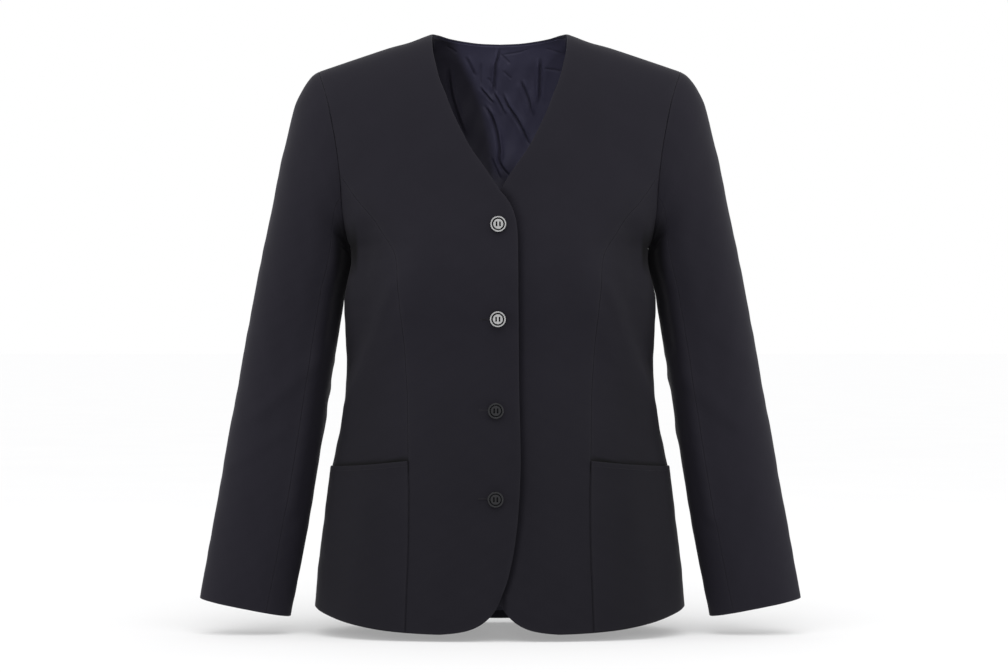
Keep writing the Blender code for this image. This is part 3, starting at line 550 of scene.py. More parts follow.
def sleevePoint(turn, run, folds, fuller):
    turn, run = np.broadcast_arrays(np.asarray(turn, float), np.asarray(run, float))
    gap = np.array([sleeveForm["armholeGap"], 0, 0])
    shift = armholeRing(turn) + gap - plainSleeve(turn, np.zeros_like(run))
    fade = (1 - ease(run, 0, sleeveForm["armholeFade"]))[..., None]
    points = plainSleeve(turn, run) + shift * fade
    height = np.zeros(turn.shape)
    degrees = np.degrees(turn) % 360
    for t0, r0, t1, r1, spread, rise in folds:
        around = ((degrees - t0 + 180) % 360 - 180) * degreeWidth
        _, a, b = besideLine(around, run - r0, (t1 - t0) * degreeWidth, r1 - r0)
        height += rise * np.exp(-(np.hypot(a, b) / spread) ** 2)
    height += handling(*np.moveaxis(points * sleeveForm["handled"], -1, 0)) * 0.9
    height *= ease(run, 6, 60)
    outward = np.cos(turn)
    height += fuller[0] * np.clip(outward, 0, 1) ** 1.5 * ease(run, 2, 30)
    height += fuller[1] * np.clip(-outward, 0, 1) ** 1.5 * ease(run, 60, 140)
    at = {name: curve(run) for name, curve in sleeveAt.items()}
    centre = np.stack([(at["outX"] + at["inX"]) / 2, at["fore"],
                       (at["outZ"] + at["inZ"]) / 2], axis=-1)
    return points + unit(points - centre) * height[..., None]


def sleeveGrid(start, end, count, folds, fuller):
    width, last = (end - start) * degreeWidth, sleeveRun[-1]
    turn = np.concatenate([[0], closeRows, np.linspace(5, width - 5, count),
                           width - closeRows[::-1], [width]])
    run = np.concatenate([[0], closeRows * 1.2, np.linspace(6, last - 5, sleeveForm["cells"]),
                          last - closeRows[::-1], [last]])
    turn, run = np.meshgrid(np.radians(start + turn / degreeWidth), run)

    def surface(a, b):
        return sleevePoint(a, b, folds, fuller)

    normals = surfaceNormals(surface, turn, np.clip(run, 0.8, last - 0.8), 4e-3, 0.6)
    # the first rows come over from the slope of the body's cloth to the sleeve's own
    line = np.concatenate([armhole, onBack(armhole[::-1])])
    away = armholeRing(turn[0])[:, None] - bodyPoint(line[:, 0], line[:, 1], False)[None]
    near = line[np.argmin(np.linalg.norm(away, axis=2), axis=1)]
    seam = bodyNormals(near[:, 0], near[:, 1])
    share = ease(np.sum(normals[0] * seam, axis=1), 0.05, 0.75)[:, None]
    for row in range(6):
        part = share * (1 - row / 6)
        normals[row] = unit(normals[row] * (1 - part) + seam * part)
    return surface(turn, run), normals


print("forms ready: underarm at row", round(underarmRun, 1), "hem at row", round(hemRun, 1))

# shader maths


class Wire:  # a socket that can be used in an expression
    def __init__(self, sheet, socket):
        self.sheet, self.socket = sheet, socket

    def maths(self, operation, a, b):
        return self.sheet.node("ShaderNodeMath", {"operation": operation}, {0: a, 1: b})

    def __add__(self, other):
        return self.maths("ADD", self, other)

    def __sub__(self, other):
        return self.maths("SUBTRACT", self, other)

    def __mul__(self, other):
        return self.maths("MULTIPLY", self, other)

    def __radd__(self, other):
        return self.maths("ADD", other, self)

    def __rsub__(self, other):
        return self.maths("SUBTRACT", other, self)

    def __rmul__(self, other):
        return self.maths("MULTIPLY", other, self)


class ShaderSheet:
    def __init__(self, name):
        self.material = bpy.data.materials.new(name)
        self.material.use_nodes = True
        self.tree = self.material.node_tree
        self.tree.nodes.clear()

    def node(self, kind, settings=None, values=None, output=0):
        made = self.tree.nodes.new(kind)
        for key, value in (settings or {}).items():
            setattr(made, key, value)
        for key, value in (values or {}).items():
            if isinstance(value, Wire):
                self.tree.links.new(value.socket, made.inputs[key])
            else:
                made.inputs[key].default_value = value
        if made.outputs:
            return Wire(self, made.outputs[output])

    def cloth(self):  # the cloth's own threads run along its UV map, in metres
        return self.node("ShaderNodeUVMap", {"uv_map": "cloth"})

    def place(self):
        return self.node("ShaderNodeTexCoord", None, None, 3)

    def painted(self, name):  # a value kept at the points of the mesh
        return self.node("ShaderNodeAttribute", {"attribute_name": name}, None, 2)

    def noise(self, place, scale, detail=2):
        return self.node("ShaderNodeTexNoise", None,
                         {"Vector": place, "Scale": scale, "Detail": detail})

    def streaks(self, place, across, down):
        stretched = self.node("ShaderNodeVectorMath", {"operation": "MULTIPLY"},
                              {0: place, 1: (across, down, 1)})
        return self.noise(stretched, 1)

    def sine(self, angle):
        return self.node("ShaderNodeMath", {"operation": "SINE"}, {0: angle})

    def mixColor(self, share, first, second):
        return self.node("ShaderNodeMix", {"data_type": "RGBA"}, {0: share, 6: first, 7: second}, 2)

    def bump(self, height, strength, distance=0.0001):
        return self.node("ShaderNodeBump", None,
                         {"Strength": strength, "Distance": distance, "Height": height})

    def finish(self, color, roughness, specular, values):
        shader = self.node("ShaderNodeBsdfPrincipled", None,
                           {"Base Color": color, "Roughness": roughness,
                            "Specular IOR Level": specular, **values})
        self.node("ShaderNodeOutputMaterial", None, {0: shader})
        return self.material


woolLook = {
    "dark": (0.0068, 0.0062, 0.0095, 1),
    "light": (0.0107, 0.0098, 0.0146, 1),
    # the colour of a painted sheen along the edges
    "pressedAndSheen": (0.020, 0.019, 0.024, 1),
    "roughness": 0.78,
    "specular": 0.10,
    "sheen": 0.035,
    "sheenRoughness": 0.42,
    "sheenTint": (0.80, 0.78, 0.86, 1),
    "ribsPerMetre": 1350,
    "bump": 0.22,
}


def woolMaterial():
    look = woolLook
    sheet = ShaderSheet("woolSuiting")
    place = sheet.cloth()
    across, along = [sheet.node("ShaderNodeSeparateXYZ", None, {0: place}, k) for k in (0, 1)]
    wave = look["ribsPerMetre"] * 2 * math.pi
    twill = sheet.sine((across + along * 0.62) * wave)
    thread = sheet.sine((across * 0.5 - along) * (wave * 1.35))
    weave = (twill * 0.6 + thread * 0.4) * 0.5 + 0.5
    fibres, mottle = sheet.noise(place, 2600, 3), sheet.noise(place, 26, 3)
    slubs = sheet.streaks(place, 900, 90)
    pressedAndSheen = sheet.painted("edge")
    share = weave * 0.30 + fibres * 0.34 + slubs * 0.20 + mottle * 0.30 - 0.12
    color = sheet.mixColor(share, look["dark"], look["light"])
    # along the edges, a painted sheen lightens the colour, and the roughness below is really lower
    color = sheet.mixColor(pressedAndSheen * 0.05, color, look["pressedAndSheen"])
    # painted shade: the points' shade values darken the colour toward black
    color = sheet.mixColor(sheet.painted("shade"), color, (0, 0, 0, 1))
    height = weave * 0.55 + fibres * 0.75 + slubs * 0.35
    roughness = look["roughness"] + (fibres - 0.5) * 0.10 - pressedAndSheen * 0.10
    return sheet.finish(color, roughness, look["specular"], {
        "Normal": sheet.bump(height, look["bump"], 0.00016), "Sheen Weight": look["sheen"],
        "Sheen Roughness": look["sheenRoughness"], "Sheen Tint": look["sheenTint"]})


satinLook = {
    "dark": (0.031, 0.0295, 0.051, 1),
    "light": (0.054, 0.052, 0.088, 1),
    "shadeColor": (0.0190, 0.0178, 0.0262, 1),
    "roughness": 0.48,
    "specular": 0.12,
    "sheen": 0.06,
    "sheenRoughness": 0.3,
    "bump": 0.10,
}


def satinMaterial():
    look = satinLook
    sheet = ShaderSheet("liningSatin")
    place = sheet.cloth()
    streak, cloudy = sheet.streaks(place, 2400, 130), sheet.noise(place, 34)
    color = sheet.mixColor(streak * 0.55 + cloudy * 0.45, look["dark"], look["light"])
    # painted shade: the points' values mix the satin toward a darker colour
    color = sheet.mixColor(sheet.painted("paintedLiningShade"), color, look["shadeColor"])
    roughness = look["roughness"] + (streak - 0.5) * 0.14
    return sheet.finish(color, roughness, look["specular"], {
        "Normal": sheet.bump(streak, look["bump"]), "Sheen Weight": look["sheen"],
        "Sheen Roughness": look["sheenRoughness"]})


wool, satin = woolMaterial(), satinMaterial()

# cloth shells

shellLook = {
    "wool": 1.5, "sleeve": 1.2, "lining": 1.0,  # how thick each is
    "deepestRoll": 0.82,  # of that thickness
    "pressedReach": 2.2,
}


def linked(name, data):
    made = bpy.data.objects.new(name, data)
    bpy.context.collection.objects.link(made)
    return made


def gridArcs(points):  # the distance along the surface, across and down
    arcs = []
    for axis in (1, 0):
        steps = np.linalg.norm(np.diff(points, axis=axis), axis=2)
        start = np.zeros((len(points), 1) if axis else (1, points.shape[1]))
        arcs.append(np.concatenate([start, np.cumsum(steps, axis=axis)], axis=axis))
    return arcs


def rolled(distance, radius):  # how far a turned edge falls away, a quarter round
    near = np.clip(1 - distance / radius, 0, 1)
    return radius * (1 - np.sqrt(np.clip(1 - near**2, 0, 1)))


def paint(mesh, name, values):  # on both faces, read by a material
    layer = mesh.attributes.new(name, "FLOAT", "POINT")
    layer.data.foreach_set("value", np.concatenate(values).reshape(-1))


def keep(piece, node):
    if node:
        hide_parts(node)
    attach(piece, "root")


# a sheet of cloth from a grid of points: rolls are the radii of its left, right, first and last
# edges, and its inner face is satin where it is lined
def clothShell(node, points, normals, thick, rolls, side=1, outward=0.0, lined=None, shade=0.0,
               materials=(wool, satin)):
    rows, columns = shape = points.shape[:2]
    across, down = gridArcs(points)
    fall, nearest = np.zeros(shape), np.full(shape, 99.0)
    distances = across, across[:, -1:] - across, down, down[-1:] - down
    for distance, radius in zip(distances, rolls):
        fall = np.maximum(fall, rolled(distance, radius))
        nearest = np.minimum(nearest, distance)
    outward, shade = np.zeros(shape) + outward, np.zeros(shape) + shade
    fall = np.minimum(fall, thick * shellLook["deepestRoll"])
    outer = (points + normals * (outward - fall)[..., None]) * (side, 1, 1)
    inner = (points + normals * (outward - thick)[..., None]) * (side, 1, 1)

    index = np.arange(rows * columns).reshape(shape)
    a, b, c, d = index[:-1, :-1], index[1:, :-1], index[1:, 1:], index[:-1, 1:]
    outerFaces = np.stack([a, b, c, d], axis=-1).reshape(-1, 4)
    innerFaces = np.stack([a, d, c, b], axis=-1).reshape(-1, 4) + index.size
    rim = np.concatenate([index[:, 0], index[-1, 1:], index[-2::-1, -1], index[0, -2:0:-1]])
    after = np.roll(rim, -1)
    wall = np.stack([rim, rim + index.size, after + index.size, after], axis=-1)
    faces = np.concatenate([outerFaces, innerFaces, wall])[:, ::side]

    mesh = bpy.data.meshes.new(f"{node}_cloth")
    verts = np.concatenate([outer, inner]).reshape(-1, 3) * mm
    mesh.from_pydata(verts.tolist(), [], faces.tolist())
    mesh.polygons.foreach_set("use_smooth", np.ones(len(faces), bool))
    uv = np.stack([across, down], axis=-1).reshape(-1, 2) * mm
    uv = np.concatenate([uv, uv + (0.013, 0.007)])  # the inner face has its own threads
    corners = np.zeros(len(mesh.loops), int)
    mesh.loops.foreach_get("vertex_index", corners)
    mesh.uv_layers.new(name="cloth").data.foreach_set("uv", uv[corners].reshape(-1))
    pressedAndSheen = np.exp(-nearest / shellLook["pressedReach"])
    paint(mesh, "edge", [pressedAndSheen, pressedAndSheen])
    # painted shade, on the outer face only
    paint(mesh, "shade", [shade, shade * 0])
    for material in materials:
        mesh.materials.append(material)
    slots = np.zeros(len(faces), int)
    if lined is not None:
        slots[len(outerFaces):2 * len(outerFaces)] = lined[:-1, :-1].reshape(-1)
    mesh.polygons.foreach_set("material_index", slots)
    mesh.update()
    # the outer face has to look away from the inner one
    middle = mesh.polygons[rows // 2 * (columns - 1) + columns // 2]
    away = (outer - inner)[rows // 2, columns // 2]
    if np.dot(np.array(middle.normal), away) < 0:
        mesh.flip_normals()

    cells = np.cross(points[1:, 1:] - points[:-1, :-1], points[1:, :-1] - points[:-1, 1:])
    piece = linked(mesh.name, mesh)
    keep(piece, node)
    return piece


def beyond(distance, limit, axis):  # whole rows or columns, so that the join is a clean line
    return np.broadcast_to(distance.mean(axis=axis, keepdims=True) > limit, distance.shape)


def aboveHem(points, limit):
    down = gridArcs(points)[1]
    return beyond(down[-1:] - down, limit, 1)


# body panels

# painted shade: the cloth's colour is darkened low down, at the sides, on the left, and in the
# hollow under the arm
paintedBodyShades = {
    "all": 0.05,
    "low": (0.22, 290, 470),
    "sides": (0.18, 100, 150),
    "left": (0.07, 30, 130),
    "waist": (120, 200),  # the sides and the left are shaded from here down
    "underarm": (0.97, 157.5, 163.5, 207, 26),
}
leftSide = {"fuller": 0.95, "lessAtHip": 0.5, "across": (100, 160), "bust": (222, 275),
            "hip": (450, 560)}
sides = ((-1, "right"), (1, "left"))


def paintedBodyShade(points, side):
    x, z = points[..., 0], points[..., 2]
    share, near, far = paintedBodyShades["low"]
    low, waist = ease(-z, near, far), ease(-z, *paintedBodyShades["waist"])
    total = paintedBodyShades["all"] + share * low
    share, near, far = paintedBodyShades["sides"]
    total = total + share * ease(x, near, far) * waist * (1 - 0.4 * low)
    if side > 0:
        share, near, far = paintedBodyShades["left"]
        total = total + share * ease(x, near, far) * waist
    # a painted shadow in the hollow under the arm
    share, near, far, at, reach = paintedBodyShades["underarm"]
    under = share * ease(x, near, far) * np.exp(-((z + at) / reach) ** 2)
    return np.maximum(total, under)


def sideEase(points, side):  # the left side is cut a little fuller from the bust to the hip
    if side < 0:
        return 0.0
    x, z = points[..., 0], points[..., 2]
    fade = 1 - leftSide["lessAtHip"] * ease(-z, *leftSide["hip"])
    return leftSide["fuller"] * ease(x, *leftSide["across"]) * ease(-z, *leftSide["bust"]) * fade


frontPiece = {
    "seamRoll": 0.9, "princessRoll": 0.5, "edgeRoll": 1.1, "facing": 72, "hemTurn": 32,
    # the depths between which the neckline turns into the closing, and the fronts come to overlap
    "close": (96, 150), "overlap": (128, 152),
    "dip": (2.9, 24, 52),  # how deep the left front lies, and where it comes up again
    "hollow": (3.6, 0.8, 6.4),  # more along the right front's edge, and how far beside it
    "edgeRise": (1.2, 1.0, 14),  # how proud the right front's edge is, and how far in
}
rollOf = {name: frontPiece[name + "Roll"] for name in ("seam", "princess", "edge")}

points, normals = overBody(frontGrid())
x, z = points[..., 0], points[..., 2]
across, down = gridArcs(points)
fromEdge = across[:, -1:] - across
lined = beyond(fromEdge, frontPiece["facing"], 0) & aboveHem(points, frontPiece["hemTurn"])
close = ease(-z, *frontPiece["close"])
dip, near, far = frontPiece["dip"]
under = -dip * (1 - ease(x, near, far)) * close
hollow, near, far = frontPiece["hollow"]
fromOther = x + frontEdgeAt(z)
under -= hollow * (1 - ease(fromOther, near, far)) * ease(-z, *frontPiece["overlap"])
rise, near, far = frontPiece["edgeRise"]
over = rise * (1 - ease(fromEdge, near, far)) * close
onArmhole = z[:, :1] > princessRows[0][0]
for side, word in sides:  # the left front goes under the right one
    clothShell(f"front_{word}", points, normals, shellLook["wool"],
               (np.where(onArmhole, rollOf["seam"], rollOf["princess"]), rollOf["edge"],
                rollOf["seam"], rollOf["edge"]),
               side, under if side > 0 else over, lined, paintedBodyShade(points, side))
print("fronts done")

pocketPiece = {
    "thick": 1.25, "lift": 0.2, "edgeRoll": 0.95,
    "gape": (0.9, 15),  # how far its top edge stands off, and how far down that fades
    "gapeEnds": (0.35, 26),  # what is left of that at its corners, and how far in it grows
    "sideFade": (0.9, 0.5, 9),  # it sinks into the side seam by this much, over this width
    "stitchLine": (5.6, 0.8, 0.28),  # from the top edge, width and depth
    "mouthShade": (1.0, 0.6, 7.5, -12),  # painted shadow over its mouth, and its lower end
    "top": ((102, -443.3), (150, -448.6), (192, -452.4)),
    "aboveHem": 1.5, "fromPrincess": 0.003, "fromSide": 0.035, "outerTop": 190,
    "columns": 30, "rows": 48,
}
pocketTopAt = curveThrough(pocketPiece["top"])

points, normals = overBody(sideGrid())
# a painted shadow just above the pocket's top edge, on the side fronts
above = points[..., 2] - pocketTopAt(points[..., 0])
share, near, far, end = pocketPiece["mouthShade"]
mouth = share * (1 - ease(above, near, far)) * (above > end)
for side, word in sides:
    clothShell(f"side_front_{word}", points, normals, shellLook["wool"],
               (rollOf["princess"], rollOf["seam"], rollOf["seam"], rollOf["edge"]),
               side, sideEase(points, side), aboveHem(points, frontPiece["hemTurn"]),
               np.maximum(paintedBodyShade(points, side), mouth))
print("side fronts done")

points, normals = overBody(backGrid())
points[:, -1, 0] = 0
normals[:, -1, 0] = 0
for side, word in sides:
    clothShell(f"back_{word}", points, unit(normals), shellLook["wool"],
               (rollOf["seam"], rollOf["seam"], rollOf["seam"], rollOf["edge"]),
               side, sideEase(points, side), aboveHem(points, frontPiece["hemTurn"]),
               paintedBodyShade(points, side))
print("backs done")

# sleeves

sleevePiece = {
    "seamRoll": 0.45, "cuffRoll": 1.0, "cuffTurn": 38, "top": 56, "under": 36,
    "innerShade": (0.75, 180, 193),  # painted shade on the side toward the body
    "shadeStart": (160, 190),
}

front, back = sleeveForm["frontSeam"], sleeveForm["backSeam"]
for side, word in sides:
    form = [sleeveForm[name + word.title()] for name in ("folds", "fuller")]
    for part, start, end in (("top", back - 360, front), ("under", front, back)):
        points, normals = sleeveGrid(start, end, sleevePiece[part], *form)
        # painted shade on the sleeve's inner side, from the underarm down
        share, near, far = sleevePiece["innerShade"]
        lower = ease(-points[..., 2], *sleevePiece["shadeStart"])
        inner = (1 - ease(points[..., 0], near, far)) * lower
        clothShell(f"sleeve_{part}_{word}", points, normals, shellLook["sleeve"],
                   (sleevePiece["seamRoll"],) * 3 + (sleevePiece["cuffRoll"],),
                   side, 0.0, aboveHem(points, sleevePiece["cuffTurn"]), share * inner)
print("sleeves done")

# patch pockets


def pocketGrid():
    columns, rows = [pocketPiece["columns"]], [pocketPiece["rows"]]
    topRow = [float(runAt(x, z)) for x, z in pocketPiece["top"]]
    low, turn = hemRun - pocketPiece["aboveHem"], sideTurn - pocketPiece["fromSide"]
    inner = cutLine(princess, topRow[0], hemRun)[0] + (pocketPiece["fromPrincess"], 0)
    left = sideLine([inner[:-1]], rows)
    right = sideLine(upright(turn, topRow[2], low), rows)
    x = np.linspace(pocketPiece["top"][0][0], pocketPiece["outerTop"], 80)
    line = frontPoints(x, pocketTopAt(x))
    line[0], line[-1] = left[0], right[0]
    line = line[(line[:, 0] >= left[0, 0]) & (line[:, 0] <= right[0, 0])]
    top = sideLine([line], columns)
    left[-1, 1] = low
    bottom = sideLine([straight(left[-1], right[-1])], columns)
    return bodyPatch(left, right, top, bottom)


points, normals = overBody(pocketGrid())
across, down = gridArcs(points)
fromSide = across[:, -1:] - across
line, spread, depth = pocketPiece["stitchLine"]
gape, fade = pocketPiece["gape"]
least, reach = pocketPiece["gapeEnds"]
sink, near, far = pocketPiece["sideFade"]
ends = least + (1 - least) * ease(np.minimum(across, fromSide), 0, reach)
proud = (gape * (1 - ease(down, 0, fade)) * ends + pocketPiece["lift"] + pocketPiece["thick"]
         - sink * (1 - ease(fromSide, near, far)) - depth * np.exp(-((down - line) / spread) ** 2))
topstitches = []
for side, word in sides:
    outward = proud + sideEase(points, side)
    clothShell(f"pocket_{word}", points, normals, pocketPiece["thick"],
               (pocketPiece["edgeRoll"],) * 4, side, outward, None, paintedBodyShade(points, side))
    face = points + normals * (outward + 0.05)[..., None]
    row = []
    for k in range(1, points.shape[1] - 1):
        at = np.array([np.interp(line, down[:, k], face[:, k, axis]) for axis in range(3)])
        out = normals[int(np.argmin(np.abs(down[:, k] - line))), k]
        row.append((at * (side, 1, 1), out * (side, 1, 1)))
    topstitches.append(row)
print("pockets done")

# back lining

liningPiece = {
    "inset": (2.1, 4.4, 30),  # at its top edge, farther down, and how far down that is
    "neckDrop": 1.3, "shoulderRun": 3, "bottom": -629, "edgeRoll": 0.6,
    "clear": 1.75,  # of the cloth behind it
    "ripple": 0.5,
    # close cells where the neck shows it: how far round and down, and counts
    "seen": (0.40, 185), "columns": (166, 17), "rows": (178, 50),
    "crisp": 0.76, "creaseShade": 0.37,
    # the cloth raised beside a crease, in its widths: where, how wide, and how high
    "ridges": ((-2.1, 1.5, 0.85), (3.2, 3, 0.30)),
    "armholeClear": (0.14, 0.40, 75),
    # creases of the satin: points (x, z), half width, depth, side of the bright ridge
    "creases": (
        (((0.6, 37), (-2, 23.6), (-4.9, 14.8), (-5.5, 2.5), (-6.7, -12.3), (-7.4, -20)),
         1.7, 2, -1),
        (((-23, -8), (-20.8, -12.3), (-16.1, -18), (-10.2, -24.9), (-7, -28)), 1.2, 1.5, 1),
        (((-8, -13), (-5.5, -18), (-0.8, -26), (3.9, -35.3), (6.2, -42)), 1.2, 1.7, 1),
        (((2, -14), (9.8, -30.7), (14.5, -37.6), (21.5, -48.1), (28.6, -60.9), (33.4, -72.6),
          (38, -79)), 1.5, 2.2, 1),
        (((-22, -27), (-13.8, -36.5), (-9.1, -44.6), (-4.4, -58.6), (-2, -70.2), (-0.2, -84.3),
          (-0.8, -93.7), (2.7, -103), (9.8, -112.4), (14, -120)), 1.7, 2.3, 1),
        (((-9.5, -90), (-7.9, -96), (-2, -110.1), (1, -118)), 1.3, 1.3, 1),
        (((24.5, 0), (27.4, -6.6), (32.1, -18), (35.6, -28.3), (38, -44)), 1.7, 1.7, 1),
        (((48.6, 26), (48.4, 17), (47.9, -4), (47.4, -30)), 2, 1.8, -1),
        (((-41, 26), (-37.1, 19.3), (-31.3, 8.1), (-29, 2)), 1.8, 1.2, 1),
        (((-61, 18), (-60.6, 5.8), (-58.4, -14.6), (-52.6, -35.3), (-45.6, -55.1), (-40, -70)),
         2.2, 1.9, 1),
        (((2, 27.5), (14, 28.6), (23.7, 30.2), (37, 34)), 0.9, 0.8, 1),
        (((53, 34), (56.4, 33.4), (68, 31), (80, 27)), 0.9, 0.8, 1),
        (((51, 13), (53.1, 12.6), (64, 10.6), (76, 7.6)), 1.2, 0.9, -1),
        (((0.4, 29.3), (7.4, 22.6), (13.3, 17)), 1.2, 0.9, 1),
        (((3.9, 10.2), (9.7, 4.4), (15.6, -0.3)), 1.2, 0.8, 1),
        (((-63.7, 37), (-56.7, 33.5), (-49.7, 28.7)), 1.4, 0.9, 1),
        (((-21.9, 19.3), (-23, 5.5), (-21.9, -8.4)), 1.7, 0.8, -1),
        (((-14.9, 2.3), (-10.2, -3.6), (-6.7, -11.7)), 1.2, 0.8, 1),
        (((-60, -150), (-20, -186), (10, -240)), 3, 1.6, 1),
        (((70, -130), (40, -176), (22, -250)), 3, 1.7, -1),
        (((-90, -300), (-30, -330), (40, -322)), 3.4, 1.7, 1),
        (((96, -350), (40, -372), (-20, -366)), 3.4, 1.6, -1),
        (((-50, -420), (-44, -500), (-56, -590)), 3.6, 1.6, 1),
        (((62, -430), (70, -510), (60, -596)), 3.6, 1.5, -1),
    ),
    # painted shade on the left and low down: a line of x by z, then the height it fades below
    "shadeLine": ((-150, 2), (-110, -6), (-72.6, -11.4), (-26, -23.2), (19.3, -44.1), (40, -54)),
    "shadeBelow": (-128, -84),
}


def creaseField(x, z):
    total, shade = np.zeros(np.shape(x)), np.zeros(np.shape(x))
    for line, width, depth, bright in liningPiece["creases"]:
        width = width * liningPiece["crisp"]
        path = smoothLine(line, 6 * len(line))
        arc = np.concatenate([[0], np.cumsum(np.hypot(*np.diff(path, axis=0).T))])
        best, signed, along = np.full(np.shape(x), 1e6), 0.0, 0.0
        for k in range(len(path) - 1):
            (x0, z0), (dx, dz) = path[k], path[k + 1] - path[k]
            t, ax, az = besideLine(x - x0, z - z0, dx, dz)
            away = np.hypot(ax, az)
            closer = away < best
            signed = np.where(closer, away * np.sign(ax * dz - az * dx) * bright, signed)
            along = np.where(closer, (arc[k] + t * (arc[k + 1] - arc[k])) / arc[-1], along)
            best = np.minimum(best, away)
        taper = ease(along, 0, 0.22) * (1 - ease(along, 0.78, 1))
        raised = sum(high * np.exp(-((signed - at * width) / (wide * width)) ** 2)
                     for at, wide, high in liningPiece["ridges"])
        raised = ease(depth, 0.8, 1.7) * raised
        total += 1.2 * depth * taper * (raised - np.exp(-(signed / width) ** 2))
        # a painted shadow along each crease
        dark = liningPiece["creaseShade"] * depth * taper
        shade = np.maximum(shade, dark * np.exp(-(signed / (0.8 * width)) ** 2))
    return total, shade


def liningReach(run):  # how far round from the middle of the back it goes, clear of the armhole
    arm = np.interp(run, armhole[:, 1], armhole[:, 0])
    least, more, reach = liningPiece["armholeClear"]
    clear = least + more * np.exp(-(((run - underarmRun) / reach) ** 2))
    return np.where(run < underarmRun, arm, sideTurn) - clear


def liningTurn(column, run):  # column: up to 1 in the seen middle, beyond it toward the side
    seen = liningPiece["seen"][0]
    side = np.clip(np.abs(column) - 1, 0, 1)
    away = seen * np.clip(np.abs(column), 0, 1) + side * (liningReach(run) - seen)
    return math.pi + np.sign(column) * away


def liningTop(column):
    least = liningPiece["shoulderRun"]
    run = np.full(np.shape(column), least)
    for _ in range(20):
        x = np.abs(bodyPoint(liningTurn(column, run), run, False)[..., 0])
        underNeck = np.maximum(runAt(x, backNeckAt(x) - liningPiece["neckDrop"]), least)
        run = np.where(x < backNeckRows[-1][0], underNeck, least)
    return run


def liningGrid():
    middle, side = liningPiece["columns"]
    outer = 1 + np.linspace(0, 1, side + 1)[1:]
    column = np.concatenate([-outer[::-1], np.linspace(-1, 1, middle), outer])
    top = liningTop(column)
    total = float(runAt(0, liningPiece["bottom"])) - top
    near, far = liningPiece["rows"]
    close = liningPiece["seen"][1] / total[None]
    v = np.linspace(0, 1, near + 1)[:, None]
    rest = close + np.linspace(0, 1, far + 1)[1:, None] * (1 - close)
    run = top[None] + np.concatenate([v * close, rest]) * total[None]
    return liningTurn(column[None], run), run, run - top[None]


def plainBody(turn, run):
    return bodyPoint(turn, run, False)


turn, run, below = liningGrid()
points = plainBody(turn, run)
normals = -surfaceNormals(plainBody, turn, np.maximum(run, 0.6), 2e-3, 0.5)
x, z = points[..., 0], points[..., 2]
ripple = (np.sin(x * 0.13 + z * 0.05) * np.sin(z * 0.07 + 1.0)
          + 0.7 * np.sin(x * 0.27 - z * 0.11 + 0.5))
first, inset, reach = liningPiece["inset"]
inset = first + (inset - first) * ease(below, 0, reach)
# creases stand off the back toward the front, and never sink into it
creased, shade = creaseField(x, z)
lift = creased + ripple * liningPiece["ripple"] * ease(below, 4, 40)
lift = np.maximum(lift * ease(below, -6, 16), liningPiece["clear"] - inset)
piece = clothShell("lining_back", points, normals, shellLook["lining"],
                   (liningPiece["edgeRoll"],) * 4, 1, -inset - lift, materials=(satin,))
# painted shade on the satin: left of a line, low down, and along the creases
fromShadeLine = x - curveThrough(liningPiece["shadeLine"])(z)
paintedLiningShade = np.maximum(1 - ease(fromShadeLine, -7, 7), 0.9 * (1 - ease(z, *liningPiece["shadeBelow"])))
paintedLiningShade = np.maximum(paintedLiningShade, np.clip(shade, 0, 0.8))
paint(piece.data, "paintedLiningShade", [paintedLiningShade, paintedLiningShade])
print("lining done:", len(piece.data.polygons), "faces")

# buttons

buttonPiece = {
    "places": ((-1.3, -179.2), (-1.8, -285.3), (-4.1, -386.6), (-4.1, -484.9)),
    # how far each one looks up and to the side, in degrees: they hang a little differently
    "tilts": ((1.8, 0), (3.4, 0), (-6, 2), (-8, -2)),
    "radius": 9,
    "profile": ((0, 0), (6.4, 0), (8, 0.35), (8.7, 0.9), (9, 1.6), (9, 2.6), (8.98, 2.95),
                (8.92, 3.2), (8.82, 3.34), (8.68, 3.4), (7.3, 3.4), (7.12, 3.32), (7.02, 3.1),
                (6.95, 2.8), (6.42, 1.8), (5.85, 2.45), (5.78, 2.7), (5.68, 2.87), (5.5, 2.94),
                (4.6, 2.94), (0, 2.94)),
    "segments": 96, "holeRadius": 0.98, "holePitch": 1.9, "sharp": 14,
    "lift": 0.4, "tiltLift": 0.7,  # clear of the cloth, and more where it looks another way
    "roughness": 0.13, "specular": 0.28,
    "dark": (0.006, 0.006, 0.007, 1), "light": (0.011, 0.011, 0.013, 1),
}


def resinMaterial():
    sheet = ShaderSheet("buttonResin")
    cloud, scuff = sheet.noise(sheet.place(), 240, 3), sheet.noise(sheet.place(), 2600)
    color = sheet.mixColor(cloud, buttonPiece["dark"], buttonPiece["light"])
    return sheet.finish(color, buttonPiece["roughness"] + scuff * 0.05, buttonPiece["specular"],
                        {"Normal": sheet.bump(scuff, 0.02)})


resin = resinMaterial()


def facingFrame(x, z, tilt, lean):
    run = runAt(x, z)
    turn = turnAt(x, run)
    a, b = math.radians(tilt), math.radians(lean)
    out = np.array([math.sin(b), -math.cos(a) * math.cos(b), math.sin(a)])
    right = unit(np.cross((0, 0, 1), out))
    up = np.cross(out, right)
    slope = bodyNormals(turn, run)
    clear = buttonPiece["radius"] * math.hypot(slope @ up, slope @ right) * buttonPiece["tiltLift"]
    return bodyPoint(turn, run), right, up, unit(out), clear + buttonPiece["lift"]


def meshOf(bm, name):
    mesh = bpy.data.meshes.new(name)
    bm.to_mesh(mesh)
    bm.free()
    return mesh


def evaluated(piece):  # its modifiers' result, as a plain mesh
    view = bpy.context.evaluated_depsgraph_get()
    piece.data = bpy.data.meshes.new_from_object(piece.evaluated_get(view))
    piece.modifiers.clear()
    return piece.data


